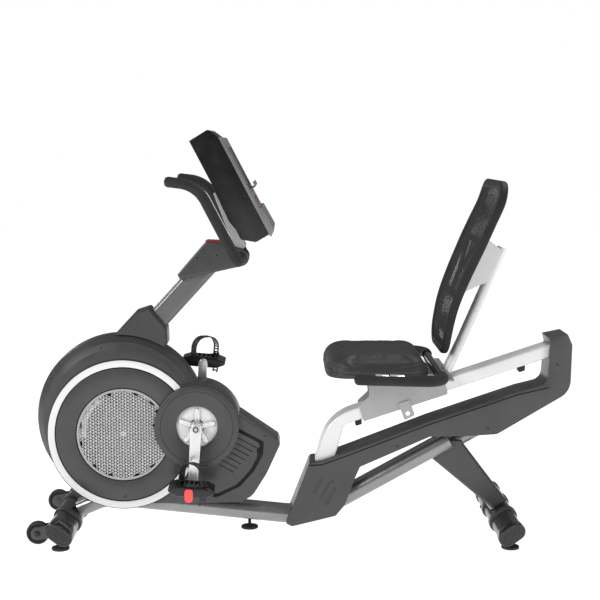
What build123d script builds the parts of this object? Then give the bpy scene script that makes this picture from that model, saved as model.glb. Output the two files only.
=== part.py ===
from build123d import *
import os
from math import atan2, cos, degrees, pi, radians, sin, sqrt, tan

# Recumbent exercise bike, millimetres.  X runs along the machine, -X at the flywheel and console end,
# +X at the seat end; -Y is the rider's left side; Z = 0 is the floor.  The frame origin is on the
# floor, midway along the length and on the middle plane.

# ---- driving dimensions -----------------------------------------------------------------------
CRANK_X, CRANK_Z = -321.0, 335.0        # crank axis
CRANK_LENGTH = 170.0
CRANK_PLANE = 100.0                     # middle of each crank arm from the middle plane
CRANK_LEAN = 3.5                        # degrees that the left arm leans forward at rest
FLYWHEEL_X, FLYWHEEL_Z = -546.0, 310.0  # flywheel axis
FLYWHEEL_RADIUS = 148.0
FLYWHEEL_WIDTH = 32.0
HOUSING_HALF_WIDTH = 60.0
HOUSING_RADIUS = 257.0                  # round front shell
HOUSING_X, HOUSING_Z = -554.0, 358.0
REAR_CASING_HALF_WIDTH = 60.0
SHELL_WALL = 3.0
TUBE_WIDTH, TUBE_HEIGHT = 88.0, 48.0    # oval main tube
TUBE_WALL = 2.0
RAIL_WIDTH, RAIL_HEIGHT = 80.0, 38.0
RAIL_SLOPE = 18.4                       # degrees
RAIL_X, RAIL_Z = 447.0, 460.0           # a point on the middle line of the rail
RAIL_END_X = 790.0
SEAT_TRAVEL = 225.0
SEAT_BASE_Z = 503.0                     # top of the seat's base plate
STABILIZER_HALF_LENGTH = 250.0
STABILIZER_WIDTH, STABILIZER_HEIGHT = 80.0, 45.0
STABILIZER_TILT = 37.0
FRONT_STABILIZER_X, REAR_STABILIZER_X = -716.0, 616.0
FRONT_STABILIZER_Z, REAR_STABILIZER_Z = 51.0, 48.0
FOOT_PLANE = 220.0
FOOT_RADIUS = 26.5
MIDDLE_FOOT_X = -163.0
WHEEL_RADIUS = 34.0
WHEEL_WIDTH = 24.0
WHEEL_PLANE = 184.0
WHEEL_AHEAD, WHEEL_ABOVE = 72.0, -10.0  # wheel axis from the front stabilizer's middle
HANDLE_PLANE = 230.0                    # upright handlebar grips
HANDLE_TUBE = 12.7                      # radius
GRIP_FOAM = 2.8                         # thickness of foam grips
CLAMP_X, CLAMP_Z = -187.0, 850.0        # handlebar clamp axis
CONSOLE_HALF_WIDTH = 160.0
SEAT_GRIP_PLANE = 296.0
SEAT_GRIP_Z = 521.0
CUSHION_HALF_WIDTH = 200.0
BACK_HALF_WIDTH = 200.0
BACK_BAR = 28.0                         # backrest frame bar
SCREW_RADIUS = 5.0

# ---- clearances -------------------------------------------------------------------------------
RUNNING_FIT = 0.05                      # shaft in its bore, radial
MOVING_GAP = 0.3                        # curved faces on different moving pieces
SIDE_GAP = 1.0                          # flat faces that pass each other
COVER_GAP = 0.3                         # plastic covers around steel


# ---- helpers ----------------------------------------------------------------------------------
def prism(profile, low, high):
    """Solid between the planes Y = low and Y = high from an X-Z profile."""
    return Pos(0, low, 0) * extrude(Plane.XZ * profile, amount=high - low, dir=(0, 1, 0))


def outline(*corners):
    """Closed face from (x, z, corner radius) corners."""
    return make_face(FilletPolyline(*[(x, z) for x, z, _ in corners],
                                    radius=[radius for *_, radius in corners], close=True))


def disc(x, z, radius, low, high):
    """Round solid about a crosswise axis."""
    return prism(Pos(x, z) * Circle(radius), low, high)


def ring(x, z, outer, inner, low, high):
    """Annular solid about a crosswise axis."""
    return prism(Pos(x, z) * (Circle(outer) - Circle(inner)), low, high)


def block(x_low, x_high, y_low, y_high, z_low, z_high):
    """Box from its limits."""
    size = (x_high - x_low, y_high - y_low, z_high - z_low)
    middle = ((x_low + x_high) / 2, (y_low + y_high) / 2, (z_low + z_high) / 2)
    return Pos(*middle) * Box(*size)


def mirrored(solid):
    """The same piece on the other side of the machine."""
    return mirror(solid, about=Plane.XZ)


def route(points, radii):
    """Straight runs joined by arcs."""
    return FilletPolyline(*points, radius=radii) if radii else Line(*points)


def pipe(radius, points, radii):
    """Round bar along straight runs joined by arcs."""
    path = route(points, radii)
    return sweep(Plane(origin=path @ 0, z_dir=path % 0) * Circle(radius), path=path)


def oval_pipe(width, height, points, radii):
    """Oval bar along an X-Z route, its wide way crosswise."""
    path = route([(x, 0, z) for x, z in points], radii)
    start = Plane(origin=path @ 0, x_dir=(0, 1, 0), z_dir=path % 0)
    return sweep(start * RectangleRounded(width, height, height * 0.42), path=path)


def save(name, *solids):
    """Write one node as its own STEP file."""
    shape = solids[0] if len(solids) == 1 else Compound(children=[Compound(s.solids()) for s in solids])
    export_step(shape, f"parts/{name}.step")


def rail_line(x, offset):
    """Height of a line parallel to the rail's middle line, offset square to it."""
    slope = radians(RAIL_SLOPE)
    return RAIL_Z + (x - RAIL_X) * tan(slope) + offset / cos(slope)


def along(x, z, angle, distance):
    """Point at a distance from (x, z) in a direction in the X-Z plane."""
    return x + distance * cos(radians(angle)), z + distance * sin(radians(angle))


os.makedirs("parts", exist_ok=True)

# ---- main frame: one weldment -----------------------------------------------------------------
TUBE_FRONT = (FRONT_STABILIZER_X + 26, FRONT_STABILIZER_Z + 16)
TUBE_KNEE = (-600.0, 105.0)
TUBE_BEND = (20.0, 40.0)
TUBE_REAR = (455.0, 281.0)
tube_route = [TUBE_FRONT, TUBE_KNEE, TUBE_BEND, TUBE_REAR]
tube_radii = [150, 250]
tube_solid = oval_pipe(TUBE_WIDTH, TUBE_HEIGHT, tube_route, tube_radii)
tube_bore = oval_pipe(TUBE_WIDTH - 2 * TUBE_WALL, TUBE_HEIGHT - 2 * TUBE_WALL, tube_route, tube_radii)
tube_envelope = oval_pipe(TUBE_WIDTH + 2 * COVER_GAP, TUBE_HEIGHT + 2 * COVER_GAP, tube_route, tube_radii)


def tube_height(x):
    """Middle line of the main tube between its knee and its bend."""
    share = (x - TUBE_KNEE[0]) / (TUBE_BEND[0] - TUBE_KNEE[0])
    return TUBE_KNEE[1] + share * (TUBE_BEND[1] - TUBE_KNEE[1])


RISER_WIDTH, RISER_HEIGHT = 50.0, 36.0
RISER_TOP_X = 778.0
riser_route = [(430.0, 250.0), (RISER_TOP_X, 440.0),
               (RISER_TOP_X, rail_line(RISER_TOP_X, -RAIL_HEIGHT / 2) - 7)]
riser = oval_pipe(RISER_WIDTH, RISER_HEIGHT, riser_route, [45])
riser_envelope = oval_pipe(RISER_WIDTH + 2 * COVER_GAP, RISER_HEIGHT + 2 * COVER_GAP, riser_route, [45])
riser_pad = prism(outline((RISER_TOP_X - 17, rail_line(RISER_TOP_X - 17, -RAIL_HEIGHT / 2), 0),
                          (RISER_TOP_X + 12, rail_line(RISER_TOP_X + 12, -RAIL_HEIGHT / 2), 0),
                          (RISER_TOP_X + 12, rail_line(RISER_TOP_X + 12, -RAIL_HEIGHT / 2 - 20), 0),
                          (RISER_TOP_X - 17, rail_line(RISER_TOP_X - 17, -RAIL_HEIGHT / 2 - 14), 0)),
                  -RISER_WIDTH / 2, RISER_WIDTH / 2)

LEG_WIDTH, LEG_HEIGHT = 44.0, 40.0
leg_route = [(470.0, 262.0), (REAR_STABILIZER_X - 12, REAR_STABILIZER_Z + 22)]
rear_leg = oval_pipe(LEG_WIDTH, LEG_HEIGHT, leg_route, [])

# upright plates either side of the flywheel carry its axle, the mast and the brake yoke
PLATE_THICKNESS = 5.0
PLATE_INNER = FLYWHEEL_WIDTH / 2 + 10
PLATE_OUTER = PLATE_INNER + PLATE_THICKNESS
AXLE_RADIUS = 8.0
MAST_FOOT = (-567.7, 520.0)
YOKE_PIVOT = along(FLYWHEEL_X, FLYWHEEL_Z, 200, FLYWHEEL_RADIUS + 24)
PIVOT_RADIUS = 5.0


def bar_between(start, end, width):
    """Flat bar profile with round ends from one point to another."""
    length = sqrt((end[0] - start[0]) ** 2 + (end[1] - start[1]) ** 2)
    angle = degrees(atan2(end[1] - start[1], end[0] - start[0]))
    middle = ((start[0] + end[0]) / 2, (start[1] + end[1]) / 2)
    return Pos(*middle) * Rot(0, 0, angle) * SlotCenterToCenter(length, width)


flywheel_axis = (FLYWHEEL_X, FLYWHEEL_Z)
plate_profile = (bar_between((FLYWHEEL_X, tube_height(FLYWHEEL_X)), flywheel_axis, 56)
                 + bar_between(flywheel_axis, (MAST_FOOT[0], MAST_FOOT[1] - 28), 48)
                 + bar_between(flywheel_axis, YOKE_PIVOT, 28)
                 - Pos(*flywheel_axis) * Circle(AXLE_RADIUS)
                 - Pos(*YOKE_PIVOT) * Circle(PIVOT_RADIUS + RUNNING_FIT))
plate_left = prism(plate_profile, -PLATE_OUTER, -PLATE_INNER) - tube_solid
plate_right = prism(plate_profile, PLATE_INNER, PLATE_OUTER) - tube_solid
mast_seat = block(MAST_FOOT[0] - 50, MAST_FOOT[0] + 50, -PLATE_OUTER, PLATE_OUTER,
                  MAST_FOOT[1] - 6, MAST_FOOT[1])

# crank bearing shell on two posts from the main tube
SHELL_HALF = 34.0
SHELL_RADIUS = 20.0
BEARING_RADIUS = 16.0
BEARING_WIDTH = 9.0
shell_post = block(CRANK_X - 16, CRANK_X + 16, -SHELL_HALF + 6, SHELL_HALF - 10,
                   tube_height(CRANK_X) + TUBE_HEIGHT / 2 - 4, CRANK_Z - SHELL_RADIUS + 3)
bearing_shell = ring(CRANK_X, CRANK_Z, SHELL_RADIUS, BEARING_RADIUS, -SHELL_HALF, SHELL_HALF)
shell_bore = disc(CRANK_X, CRANK_Z, BEARING_RADIUS, -SHELL_HALF, SHELL_HALF)

# threaded boss for the middle foot
STUD_RADIUS = 5.0
FOOT_PAD_HEIGHT = 9.0
middle_tube_floor = tube_height(MIDDLE_FOOT_X) - TUBE_HEIGHT / 2


def stud_hole(x, y, z_low, z_high):
    """Hole for a levelling foot's stud."""
    return Pos(x, y, (z_low + z_high) / 2) * Cylinder(STUD_RADIUS + RUNNING_FIT, z_high - z_low)


frame_solid = tube_solid + riser + riser_pad + rear_leg - tube_bore
frame_solid = frame_solid + plate_left + plate_right + mast_seat + shell_post + bearing_shell - shell_bore
frame_solid = frame_solid - stud_hole(MIDDLE_FOOT_X, 0, 0, tube_height(MIDDLE_FOOT_X))

# ---- stabilizers ------------------------------------------------------------------------------
def stabilizer_profile(x, z, tilt, grow=0.0):
    """Oval section of a floor stabilizer."""
    oval = SlotOverall(STABILIZER_WIDTH + 2 * grow, STABILIZER_HEIGHT + 2 * grow)
    return Pos(x, z) * Rot(0, 0, tilt) * oval


def stabilizer(x, z, tilt):
    """Oval tube across the machine with holes for the levelling feet."""
    tube = prism(stabilizer_profile(x, z, tilt) - stabilizer_profile(x, z, tilt, -TUBE_WALL),
                 -STABILIZER_HALF_LENGTH, STABILIZER_HALF_LENGTH)
    for y in (-FOOT_PLANE, FOOT_PLANE):
        tube -= stud_hole(x, y, 0, z)
    return tube


CAP_WALL = 3.0
CAP_LENGTH = 34.0
front_wheel = (FRONT_STABILIZER_X - WHEEL_AHEAD, FRONT_STABILIZER_Z + WHEEL_ABOVE)
WHEEL_BORE = 4.0
FORK_THICKNESS = 4.0
wheel_inner = WHEEL_PLANE - WHEEL_WIDTH / 2 - SIDE_GAP
wheel_outer = WHEEL_PLANE + WHEEL_WIDTH / 2 + SIDE_GAP


def end_cap(x, z, tilt, side, inner_end):
    """Moulded sleeve that closes a stabilizer's end."""
    sleeve = prism(stabilizer_profile(x, z, tilt, CAP_WALL) - stabilizer_profile(x, z, tilt),
                   inner_end, STABILIZER_HALF_LENGTH)
    end = prism(stabilizer_profile(x, z, tilt, CAP_WALL), STABILIZER_HALF_LENGTH,
                STABILIZER_HALF_LENGTH + CAP_WALL)
    cap = sleeve + end - stud_hole(x, FOOT_PLANE, 0, z)
    return cap if side > 0 else mirrored(cap)


def wheel_fork(side):
    """Two cheeks ahead of the front cap that hold a transport wheel."""
    cheek = bar_between((FRONT_STABILIZER_X, FRONT_STABILIZER_Z), front_wheel, 40)
    cheek -= stabilizer_profile(FRONT_STABILIZER_X, FRONT_STABILIZER_Z, -STABILIZER_TILT, CAP_WALL / 2)
    cheek -= Pos(*front_wheel) * Circle(WHEEL_BORE + RUNNING_FIT)
    fork = (prism(cheek, wheel_inner - FORK_THICKNESS, wheel_inner)
            + prism(cheek, wheel_outer, wheel_outer + FORK_THICKNESS))
    fork -= block(FRONT_STABILIZER_X, FRONT_STABILIZER_X + 60, 0, 300, 0, 120)
    return fork if side > 0 else mirrored(fork)


front_tube = stabilizer(FRONT_STABILIZER_X, FRONT_STABILIZER_Z, -STABILIZER_TILT)
rear_tube = stabilizer(REAR_STABILIZER_X, REAR_STABILIZER_Z, STABILIZER_TILT)
front_solid = prism(stabilizer_profile(FRONT_STABILIZER_X, FRONT_STABILIZER_Z, -STABILIZER_TILT), -300, 300)
rear_solid = prism(stabilizer_profile(REAR_STABILIZER_X, REAR_STABILIZER_Z, STABILIZER_TILT), -300, 300)
FORK_SLEEVE = wheel_inner - FORK_THICKNESS - 4
front_caps = [end_cap(FRONT_STABILIZER_X, FRONT_STABILIZER_Z, -STABILIZER_TILT, side, FORK_SLEEVE)
              + wheel_fork(side) for side in (-1, 1)]
rear_caps = [end_cap(REAR_STABILIZER_X, REAR_STABILIZER_Z, STABILIZER_TILT, side,
                     STABILIZER_HALF_LENGTH - CAP_LENGTH) for side in (-1, 1)]
frame_solid = frame_solid - front_solid - rear_solid

# C-shaped collars around the stabilizers beside the frame
COLLAR_PLANE = 78.0
COLLAR_WIDTH = 30.0
COLLAR_WALL = 6.0


def collar(x, z, tilt, side):
    """Collar open towards the frame's end of the machine."""
    band = prism(stabilizer_profile(x, z, tilt, COLLAR_WALL) - stabilizer_profile(x, z, tilt),
                 COLLAR_PLANE - COLLAR_WIDTH / 2, COLLAR_PLANE + COLLAR_WIDTH / 2)
    return band if side > 0 else mirrored(band)


collars = [collar(x, z, tilt, side)
           for x, z, tilt in ((FRONT_STABILIZER_X, FRONT_STABILIZER_Z, -STABILIZER_TILT),
                              (REAR_STABILIZER_X, REAR_STABILIZER_Z, STABILIZER_TILT))
           for side in (-1, 1)]
save("front_stabilizer", front_tube)
save("rear_stabilizer", rear_tube)
save("stabilizer_end_caps", *front_caps, *rear_caps)
save("stabilizer_collars", *collars)

# ---- levelling feet and transport wheels ------------------------------------------------------
def levelling_foot(x, y, top):
    """Round pad with its threaded stud."""
    pad = Pos(x, y, FOOT_PAD_HEIGHT / 2) * Cylinder(FOOT_RADIUS, FOOT_PAD_HEIGHT)
    pad = fillet(pad.edges().group_by(Axis.Z)[-1], 2.5)
    stud = Pos(x, y, (FOOT_PAD_HEIGHT + top) / 2) * Cylinder(STUD_RADIUS, top - FOOT_PAD_HEIGHT)
    return pad + stud


STUD_TOP = 40.0
save("foot_front_left", levelling_foot(FRONT_STABILIZER_X, -FOOT_PLANE, STUD_TOP))
save("foot_front_right", levelling_foot(FRONT_STABILIZER_X, FOOT_PLANE, STUD_TOP))
save("foot_rear_left", levelling_foot(REAR_STABILIZER_X, -FOOT_PLANE, STUD_TOP))
save("foot_rear_right", levelling_foot(REAR_STABILIZER_X, FOOT_PLANE, STUD_TOP))
save("foot_middle", levelling_foot(MIDDLE_FOOT_X, 0, middle_tube_floor + 18))

wheel = ring(*front_wheel, WHEEL_RADIUS, WHEEL_BORE + RUNNING_FIT,
             WHEEL_PLANE - WHEEL_WIDTH / 2, WHEEL_PLANE + WHEEL_WIDTH / 2)
wheel = fillet(wheel.edges().filter_by(GeomType.CIRCLE).sort_by(SortBy.LENGTH)[-2:], 3)
save("transport_wheel_right", wheel)
save("transport_wheel_left", mirrored(wheel))

# ---- crank, pedals ----------------------------------------------------------------------------
AXLE_END = CRANK_PLANE + 6
CRANK_AXLE = 8.5
PULLEY_RADIUS, SMALL_PULLEY_RADIUS = 112.0, 16.0
BELT_PLANE, BELT_WIDTH = PLATE_OUTER + 11, 12.0
BELT_THICKNESS = 3.0
SHROUD_RADIUS, SHROUD_RECESS = 129.0, 64.0
SHROUD_DEPTH = 14.0
crank_axis = (CRANK_X, CRANK_Z)
ARM_THICKNESS = 14.0
arm_face = CRANK_PLANE + ARM_THICKNESS / 2
crank_bolt = disc(*crank_axis, 11, arm_face, arm_face + 4)
save("crank_axle", disc(*crank_axis, CRANK_AXLE, -AXLE_END, AXLE_END), crank_bolt, mirrored(crank_bolt))


def bearing(low, high):
    """Sealed bearing seated in the shell."""
    return ring(*crank_axis, BEARING_RADIUS, CRANK_AXLE + RUNNING_FIT, low, high)


save("crank_bearings", bearing(-SHELL_HALF, -SHELL_HALF + BEARING_WIDTH),
     bearing(SHELL_HALF - BEARING_WIDTH, SHELL_HALF))

EYE_RADIUS = 14.0
HUB_RADIUS = 18.0
SPIDER_RADIUS = 57.0
SPINDLE_RADIUS = 7.0
SPINDLE_END = 196.0
PEDAL_GAP = 5.0
SPIDER_LOW, SPIDER_HIGH = HOUSING_HALF_WIDTH + 6, HOUSING_HALF_WIDTH + 11


def crank_arm(angle):
    """Right-hand arm, its hub, its five-arm spider and its pedal spindle."""
    pedal_axis = along(*crank_axis, angle, CRANK_LENGTH)
    low, high = CRANK_PLANE - ARM_THICKNESS / 2, CRANK_PLANE + ARM_THICKNESS / 2
    arm = prism(make_hull((Pos(*crank_axis) * Circle(HUB_RADIUS)).edges()
                          + (Pos(*pedal_axis) * Circle(EYE_RADIUS)).edges()), low, high)
    arm = fillet(arm.edges().filter_by_position(Axis.Y, high - 0.1, high + 0.1), 2)
    spider = sum((bar_between(crank_axis, along(*crank_axis, angle + 36 + 72 * turn, SPIDER_RADIUS - 7), 14)
                  for turn in range(5)), Pos(*crank_axis) * Circle(HUB_RADIUS + 4))
    spider = prism(spider, SPIDER_LOW, SPIDER_HIGH)
    hub = disc(*crank_axis, HUB_RADIUS, SPIDER_LOW, high)
    spindle = disc(*pedal_axis, SPINDLE_RADIUS, high, SPINDLE_END)
    flange = disc(*pedal_axis, SPINDLE_RADIUS + 3, high, high + 3)
    body = arm + hub + spider - disc(*crank_axis, CRANK_AXLE, 0, AXLE_END)
    return body + spindle + flange, pedal_axis


RIGHT_ANGLE = 90 - CRANK_LEAN
arm_right, right_pedal_axis = crank_arm(RIGHT_ANGLE)
arm_left, left_pedal_axis = crank_arm(RIGHT_ANGLE + 180)
save("crank_arm_right", arm_right)
save("crank_arm_left", mirrored(arm_left))

PEDAL_LENGTH, PEDAL_WIDTH, PEDAL_HEIGHT = 137.0, 88.0, 32.0
PEDAL_TILT = -5.0
STRAP_WIDTH, STRAP_THICKNESS, STRAP_RISE = 25.0, 3.0, 62.0
pedal_low = CRANK_PLANE + ARM_THICKNESS / 2 + PEDAL_GAP
pedal_high = pedal_low + PEDAL_WIDTH


def pedal(axis):
    """Right-hand pedal platform, bored for the spindle."""
    half, height = PEDAL_LENGTH / 2, PEDAL_HEIGHT / 2
    profile = outline((-half, 8, 6), (-half, -4, 6), (-half + 26, -height, 8), (half - 26, -height, 8),
                      (half, -4, 6), (half, 8, 6), (half - 22, height, 8), (-half + 22, height, 8))
    body = prism(Pos(*axis) * Rot(0, 0, PEDAL_TILT) * profile, pedal_low, pedal_high)
    return body - disc(*axis, SPINDLE_RADIUS + RUNNING_FIT, pedal_low - 1, pedal_high)


def pedal_strap(axis):
    """Arched strap from the inner front corner to the outer rear corner of a pedal."""
    half = 46.0
    inner = half - STRAP_THICKNESS
    base = PEDAL_HEIGHT / 2 + MOVING_GAP
    arch = (outline((-half, base, 0), (half, base, 0), (half, base + STRAP_RISE, 34),
                    (-half, base + STRAP_RISE, 34))
            - outline((-inner, base, 0), (inner, base, 0),
                      (inner, base + STRAP_RISE - STRAP_THICKNESS, 31),
                      (-inner, base + STRAP_RISE - STRAP_THICKNESS, 31)))
    band = prism(arch, -STRAP_WIDTH / 2, STRAP_WIDTH / 2)
    foot = block(-half, -half + 14, -STRAP_WIDTH / 2, STRAP_WIDTH / 2, base, base + STRAP_THICKNESS)
    far_foot = block(half - 14, half, -STRAP_WIDTH / 2, STRAP_WIDTH / 2, base, base + STRAP_THICKNESS)
    placed = Pos(axis[0], (pedal_low + pedal_high) / 2, axis[1]) * Rot(0, -PEDAL_TILT, 0) * Rot(0, 0, 40)
    return placed * (band + foot + far_foot)


for side_name, axis in (("right", right_pedal_axis), ("left", left_pedal_axis)):
    body, strap = pedal(axis), pedal_strap(axis)
    save(f"pedal_{side_name}", body if side_name == "right" else mirrored(body))
    save(f"pedal_strap_{side_name}", strap if side_name == "right" else mirrored(strap))

# ---- belt drive, flywheel and brake -----------------------------------------------------------
belt_low, belt_high = BELT_PLANE - BELT_WIDTH / 2, BELT_PLANE + BELT_WIDTH / 2
WEB_OUTER, WEB_INNER = PULLEY_RADIUS - 14, 34.0
pulley = ring(*crank_axis, PULLEY_RADIUS, CRANK_AXLE, belt_low, belt_high)
pulley -= ring(*crank_axis, WEB_OUTER, WEB_INNER, belt_low + 4, belt_high)
for turn in range(5):
    hole = along(*crank_axis, 72 * turn, (WEB_OUTER + WEB_INNER) / 2)
    pulley -= disc(*hole, 20, belt_low, belt_high)
save("drive_pulley", pulley)

HUB_BORE = AXLE_RADIUS + RUNNING_FIT
flywheel = ring(*flywheel_axis, FLYWHEEL_RADIUS, HUB_BORE, -FLYWHEEL_WIDTH / 2, FLYWHEEL_WIDTH / 2)
for low, high in ((-FLYWHEEL_WIDTH / 2, -FLYWHEEL_WIDTH / 2 + 10), (FLYWHEEL_WIDTH / 2 - 10, FLYWHEEL_WIDTH / 2)):
    flywheel -= ring(*flywheel_axis, FLYWHEEL_RADIUS - 26, 30, low, high)
save("flywheel", flywheel)
pulley_hub = ring(*flywheel_axis, SMALL_PULLEY_RADIUS, HUB_BORE, PLATE_OUTER + SIDE_GAP, belt_high)
save("flywheel_pulley", pulley_hub)
axle_end = belt_high + 3
save("flywheel_axle", disc(*flywheel_axis, AXLE_RADIUS, -axle_end, axle_end))

belt_inner = make_hull((Pos(*crank_axis) * Circle(PULLEY_RADIUS + MOVING_GAP)).edges()
                       + (Pos(*flywheel_axis) * Circle(SMALL_PULLEY_RADIUS + MOVING_GAP)).edges())
belt_outer = make_hull((Pos(*crank_axis) * Circle(PULLEY_RADIUS + MOVING_GAP + BELT_THICKNESS)).edges()
                       + (Pos(*flywheel_axis) * Circle(SMALL_PULLEY_RADIUS + MOVING_GAP
                                                       + BELT_THICKNESS)).edges())
save("drive_belt", prism(belt_outer - belt_inner, belt_low + 1, belt_high - 1))

# idler under the lower run of the belt
IDLER_RADIUS = 18.0
run = sqrt((CRANK_X - FLYWHEEL_X) ** 2 + (CRANK_Z - FLYWHEEL_Z) ** 2)
run_angle = atan2(CRANK_Z - FLYWHEEL_Z, CRANK_X - FLYWHEEL_X)
belt_span = sqrt(run ** 2 - (PULLEY_RADIUS - SMALL_PULLEY_RADIUS) ** 2)
normal = run_angle - pi / 2 - atan2(PULLEY_RADIUS - SMALL_PULLEY_RADIUS, belt_span)
contact = 0.35 * belt_span
tangent = normal + pi / 2
reach = SMALL_PULLEY_RADIUS + BELT_THICKNESS + 2 * MOVING_GAP + IDLER_RADIUS
idler_axis = (FLYWHEEL_X + reach * cos(normal) + contact * cos(tangent),
              FLYWHEEL_Z + reach * sin(normal) + contact * sin(tangent))
save("idler_pulley", ring(*idler_axis, IDLER_RADIUS, WHEEL_BORE + RUNNING_FIT, belt_low, belt_high))
idler_bracket = prism(bar_between(idler_axis, (idler_axis[0], tube_height(idler_axis[0]) + 10), 24),
                      PLATE_INNER, PLATE_INNER + 4)
idler_pin = disc(*idler_axis, WHEEL_BORE, PLATE_INNER + 4, belt_high + 2)
frame_solid = frame_solid + (idler_bracket - tube_solid) + idler_pin
save("main_frame", frame_solid)

# brake yoke: two cheeks with magnets beside the rim, joined by a bridge outside it
YOKE_GAP = 3.0
YOKE_HALF = FLYWHEEL_WIDTH / 2 + YOKE_GAP
YOKE_THICKNESS = 4.0
rim_outer = FLYWHEEL_RADIUS + 18
YOKE_FROM, YOKE_TO = 128.0, 188.0


def sector(outer, inner, start, end):
    """Ring sector about the flywheel axis."""
    span = end - start
    arcs = [CenterArc(flywheel_axis, outer, start, span), CenterArc(flywheel_axis, inner, start, span)]
    ends = [Line(arcs[0] @ 0, arcs[1] @ 0), Line(arcs[0] @ 1, arcs[1] @ 1)]
    return make_face(arcs + ends)


cheek_profile = (sector(rim_outer, FLYWHEEL_RADIUS - 30, YOKE_FROM, YOKE_TO)
                 + bar_between(along(*flywheel_axis, YOKE_TO - 2, FLYWHEEL_RADIUS + 8), YOKE_PIVOT, 18)
                 - Pos(*YOKE_PIVOT) * Circle(PIVOT_RADIUS + RUNNING_FIT))
yoke = (prism(cheek_profile, -YOKE_HALF - YOKE_THICKNESS, -YOKE_HALF)
        + prism(cheek_profile, YOKE_HALF, YOKE_HALF + YOKE_THICKNESS)
        + prism(sector(rim_outer, rim_outer - 5, YOKE_FROM, YOKE_TO), -YOKE_HALF, YOKE_HALF))
save("brake_yoke", yoke)

# ---- drive housing ----------------------------------------------------------------------------
housing_axis = (HOUSING_X, HOUSING_Z)
RING_OUTER, RING_INNER = 232.0, 207.0
GRILLE_RADIUS = 142.0
BAND_HALF, BAND_SLANT = 40.0, 38.0
LOBE_RADIUS = SHROUD_RADIUS + 5
BEZEL_FACE = HOUSING_HALF_WIDTH
INSET_FACE = HOUSING_HALF_WIDTH - 4
REAR_TOP = (CRANK_X + 126, CRANK_Z + 41)
REAR_NOSE = (CRANK_X + 257, CRANK_Z - 43)


def rear_body(shrink):
    """Profile of the housing behind the crank, drawn in by a margin."""
    bottom = 92.0 + shrink
    nose = (REAR_NOSE[0] - shrink, REAR_NOSE[1] - shrink)
    tail = (CRANK_X + 130 - shrink, bottom + 3)
    waist = (CRANK_X + 213 - shrink, CRANK_Z - 149)
    lines = [Line((FLYWHEEL_X + 90, bottom), tail),
             ThreePointArc(tail, waist, (nose[0] - 3, nose[1] - 16)),
             Line((nose[0] - 3, nose[1] - 16), (nose[0] - 9, nose[1] + 1)),
             Line((nose[0] - 9, nose[1] + 1), (REAR_TOP[0] - shrink, REAR_TOP[1] - shrink)),
             Line((REAR_TOP[0] - shrink, REAR_TOP[1] - shrink), (CRANK_X - 60, CRANK_Z + 60)),
             Line((CRANK_X - 60, CRANK_Z + 60), (FLYWHEEL_X + 90, bottom))]
    return make_face(lines)


def housing_outer(shrink):
    """Left half of the housing as a solid, drawn in by a wall thickness."""
    wide = BEZEL_FACE - shrink
    inset = INSET_FACE - shrink
    crown = Pos(HOUSING_X, -BAND_HALF - (inset - BAND_HALF) / 2, HOUSING_Z) * Rot(90, 0, 0) * Cone(
        HOUSING_RADIUS - shrink, HOUSING_RADIUS - shrink - BAND_SLANT, inset - BAND_HALF)
    return (disc(*housing_axis, HOUSING_RADIUS - shrink, -BAND_HALF, 0) + crown
            + disc(*flywheel_axis, RING_OUTER - shrink, -wide, 0)
            + disc(*crank_axis, LOBE_RADIUS - shrink, -wide, 0)
            + prism(rear_body(shrink), -inset, 0))


MAST_WIDTH, MAST_DEPTH = 66.0, 50.0
MAST_ANGLE = 47.5
MAST_WALL = 2.5
mast_direction = Plane(origin=(MAST_FOOT[0], 0, MAST_FOOT[1]), x_dir=(0, 1, 0),
                       z_dir=(cos(radians(MAST_ANGLE)), 0, sin(radians(MAST_ANGLE))))
MAST_LENGTH = 446.3
MAST_CORNER = 14.0
mast_profile = RectangleRounded(MAST_DEPTH, MAST_WIDTH, MAST_CORNER)
mast_envelope = extrude(mast_direction * RectangleRounded(MAST_DEPTH + 2 * COVER_GAP, MAST_WIDTH + 2 * COVER_GAP,
                                                          MAST_CORNER), MAST_LENGTH)

SEAM = 0.2


def band_face(x, z):
    """Half width of the housing's slanted band at a point."""
    radius = sqrt((x - HOUSING_X) ** 2 + (z - HOUSING_Z) ** 2)
    return BAND_HALF + (HOUSING_RADIUS - radius) / BAND_SLANT * (INSET_FACE - BAND_HALF)


def screw_head(x, z, face):
    """Countersunk screw head in the left cover whose face is at a half width."""
    return disc(x, z, SCREW_RADIUS, -face - 0.8, -face + 1.2)


TRIM_THICKNESS = 3.0
TRIM_PROUD = BEZEL_FACE + TRIM_THICKNESS
housing_screws = [screw_head(x, z, band_face(x, z)) for x, z in ((-781, 385), (-611, 573), (-348, 491))]
housing_screws += [screw_head(-112, 302, INSET_FACE), screw_head(-261, 112, INSET_FACE)]
cover_screw = screw_head(-542, 116, TRIM_PROUD)
housing = housing_outer(0) - housing_outer(SHELL_WALL)
housing = housing - tube_envelope - mast_envelope
housing -= disc(*flywheel_axis, GRILLE_RADIUS + 3, -80, -INSET_FACE + SHELL_WALL + 4)
housing -= disc(*crank_axis, HUB_RADIUS + 6, -80, 0)
housing -= block(-1000, 200, -SEAM, 10, 0, 800)
slot_x = along(*MAST_FOOT, MAST_ANGLE, 110)[0]
mast_slot = block(slot_x - 60, slot_x + 60, -MAST_DEPTH / 2 - 6, 0, 560, 640)
housing -= mast_slot
for screw in housing_screws:
    housing -= screw
save("drive_housing_left", housing)
save("drive_housing_right", mirrored(housing))

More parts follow.
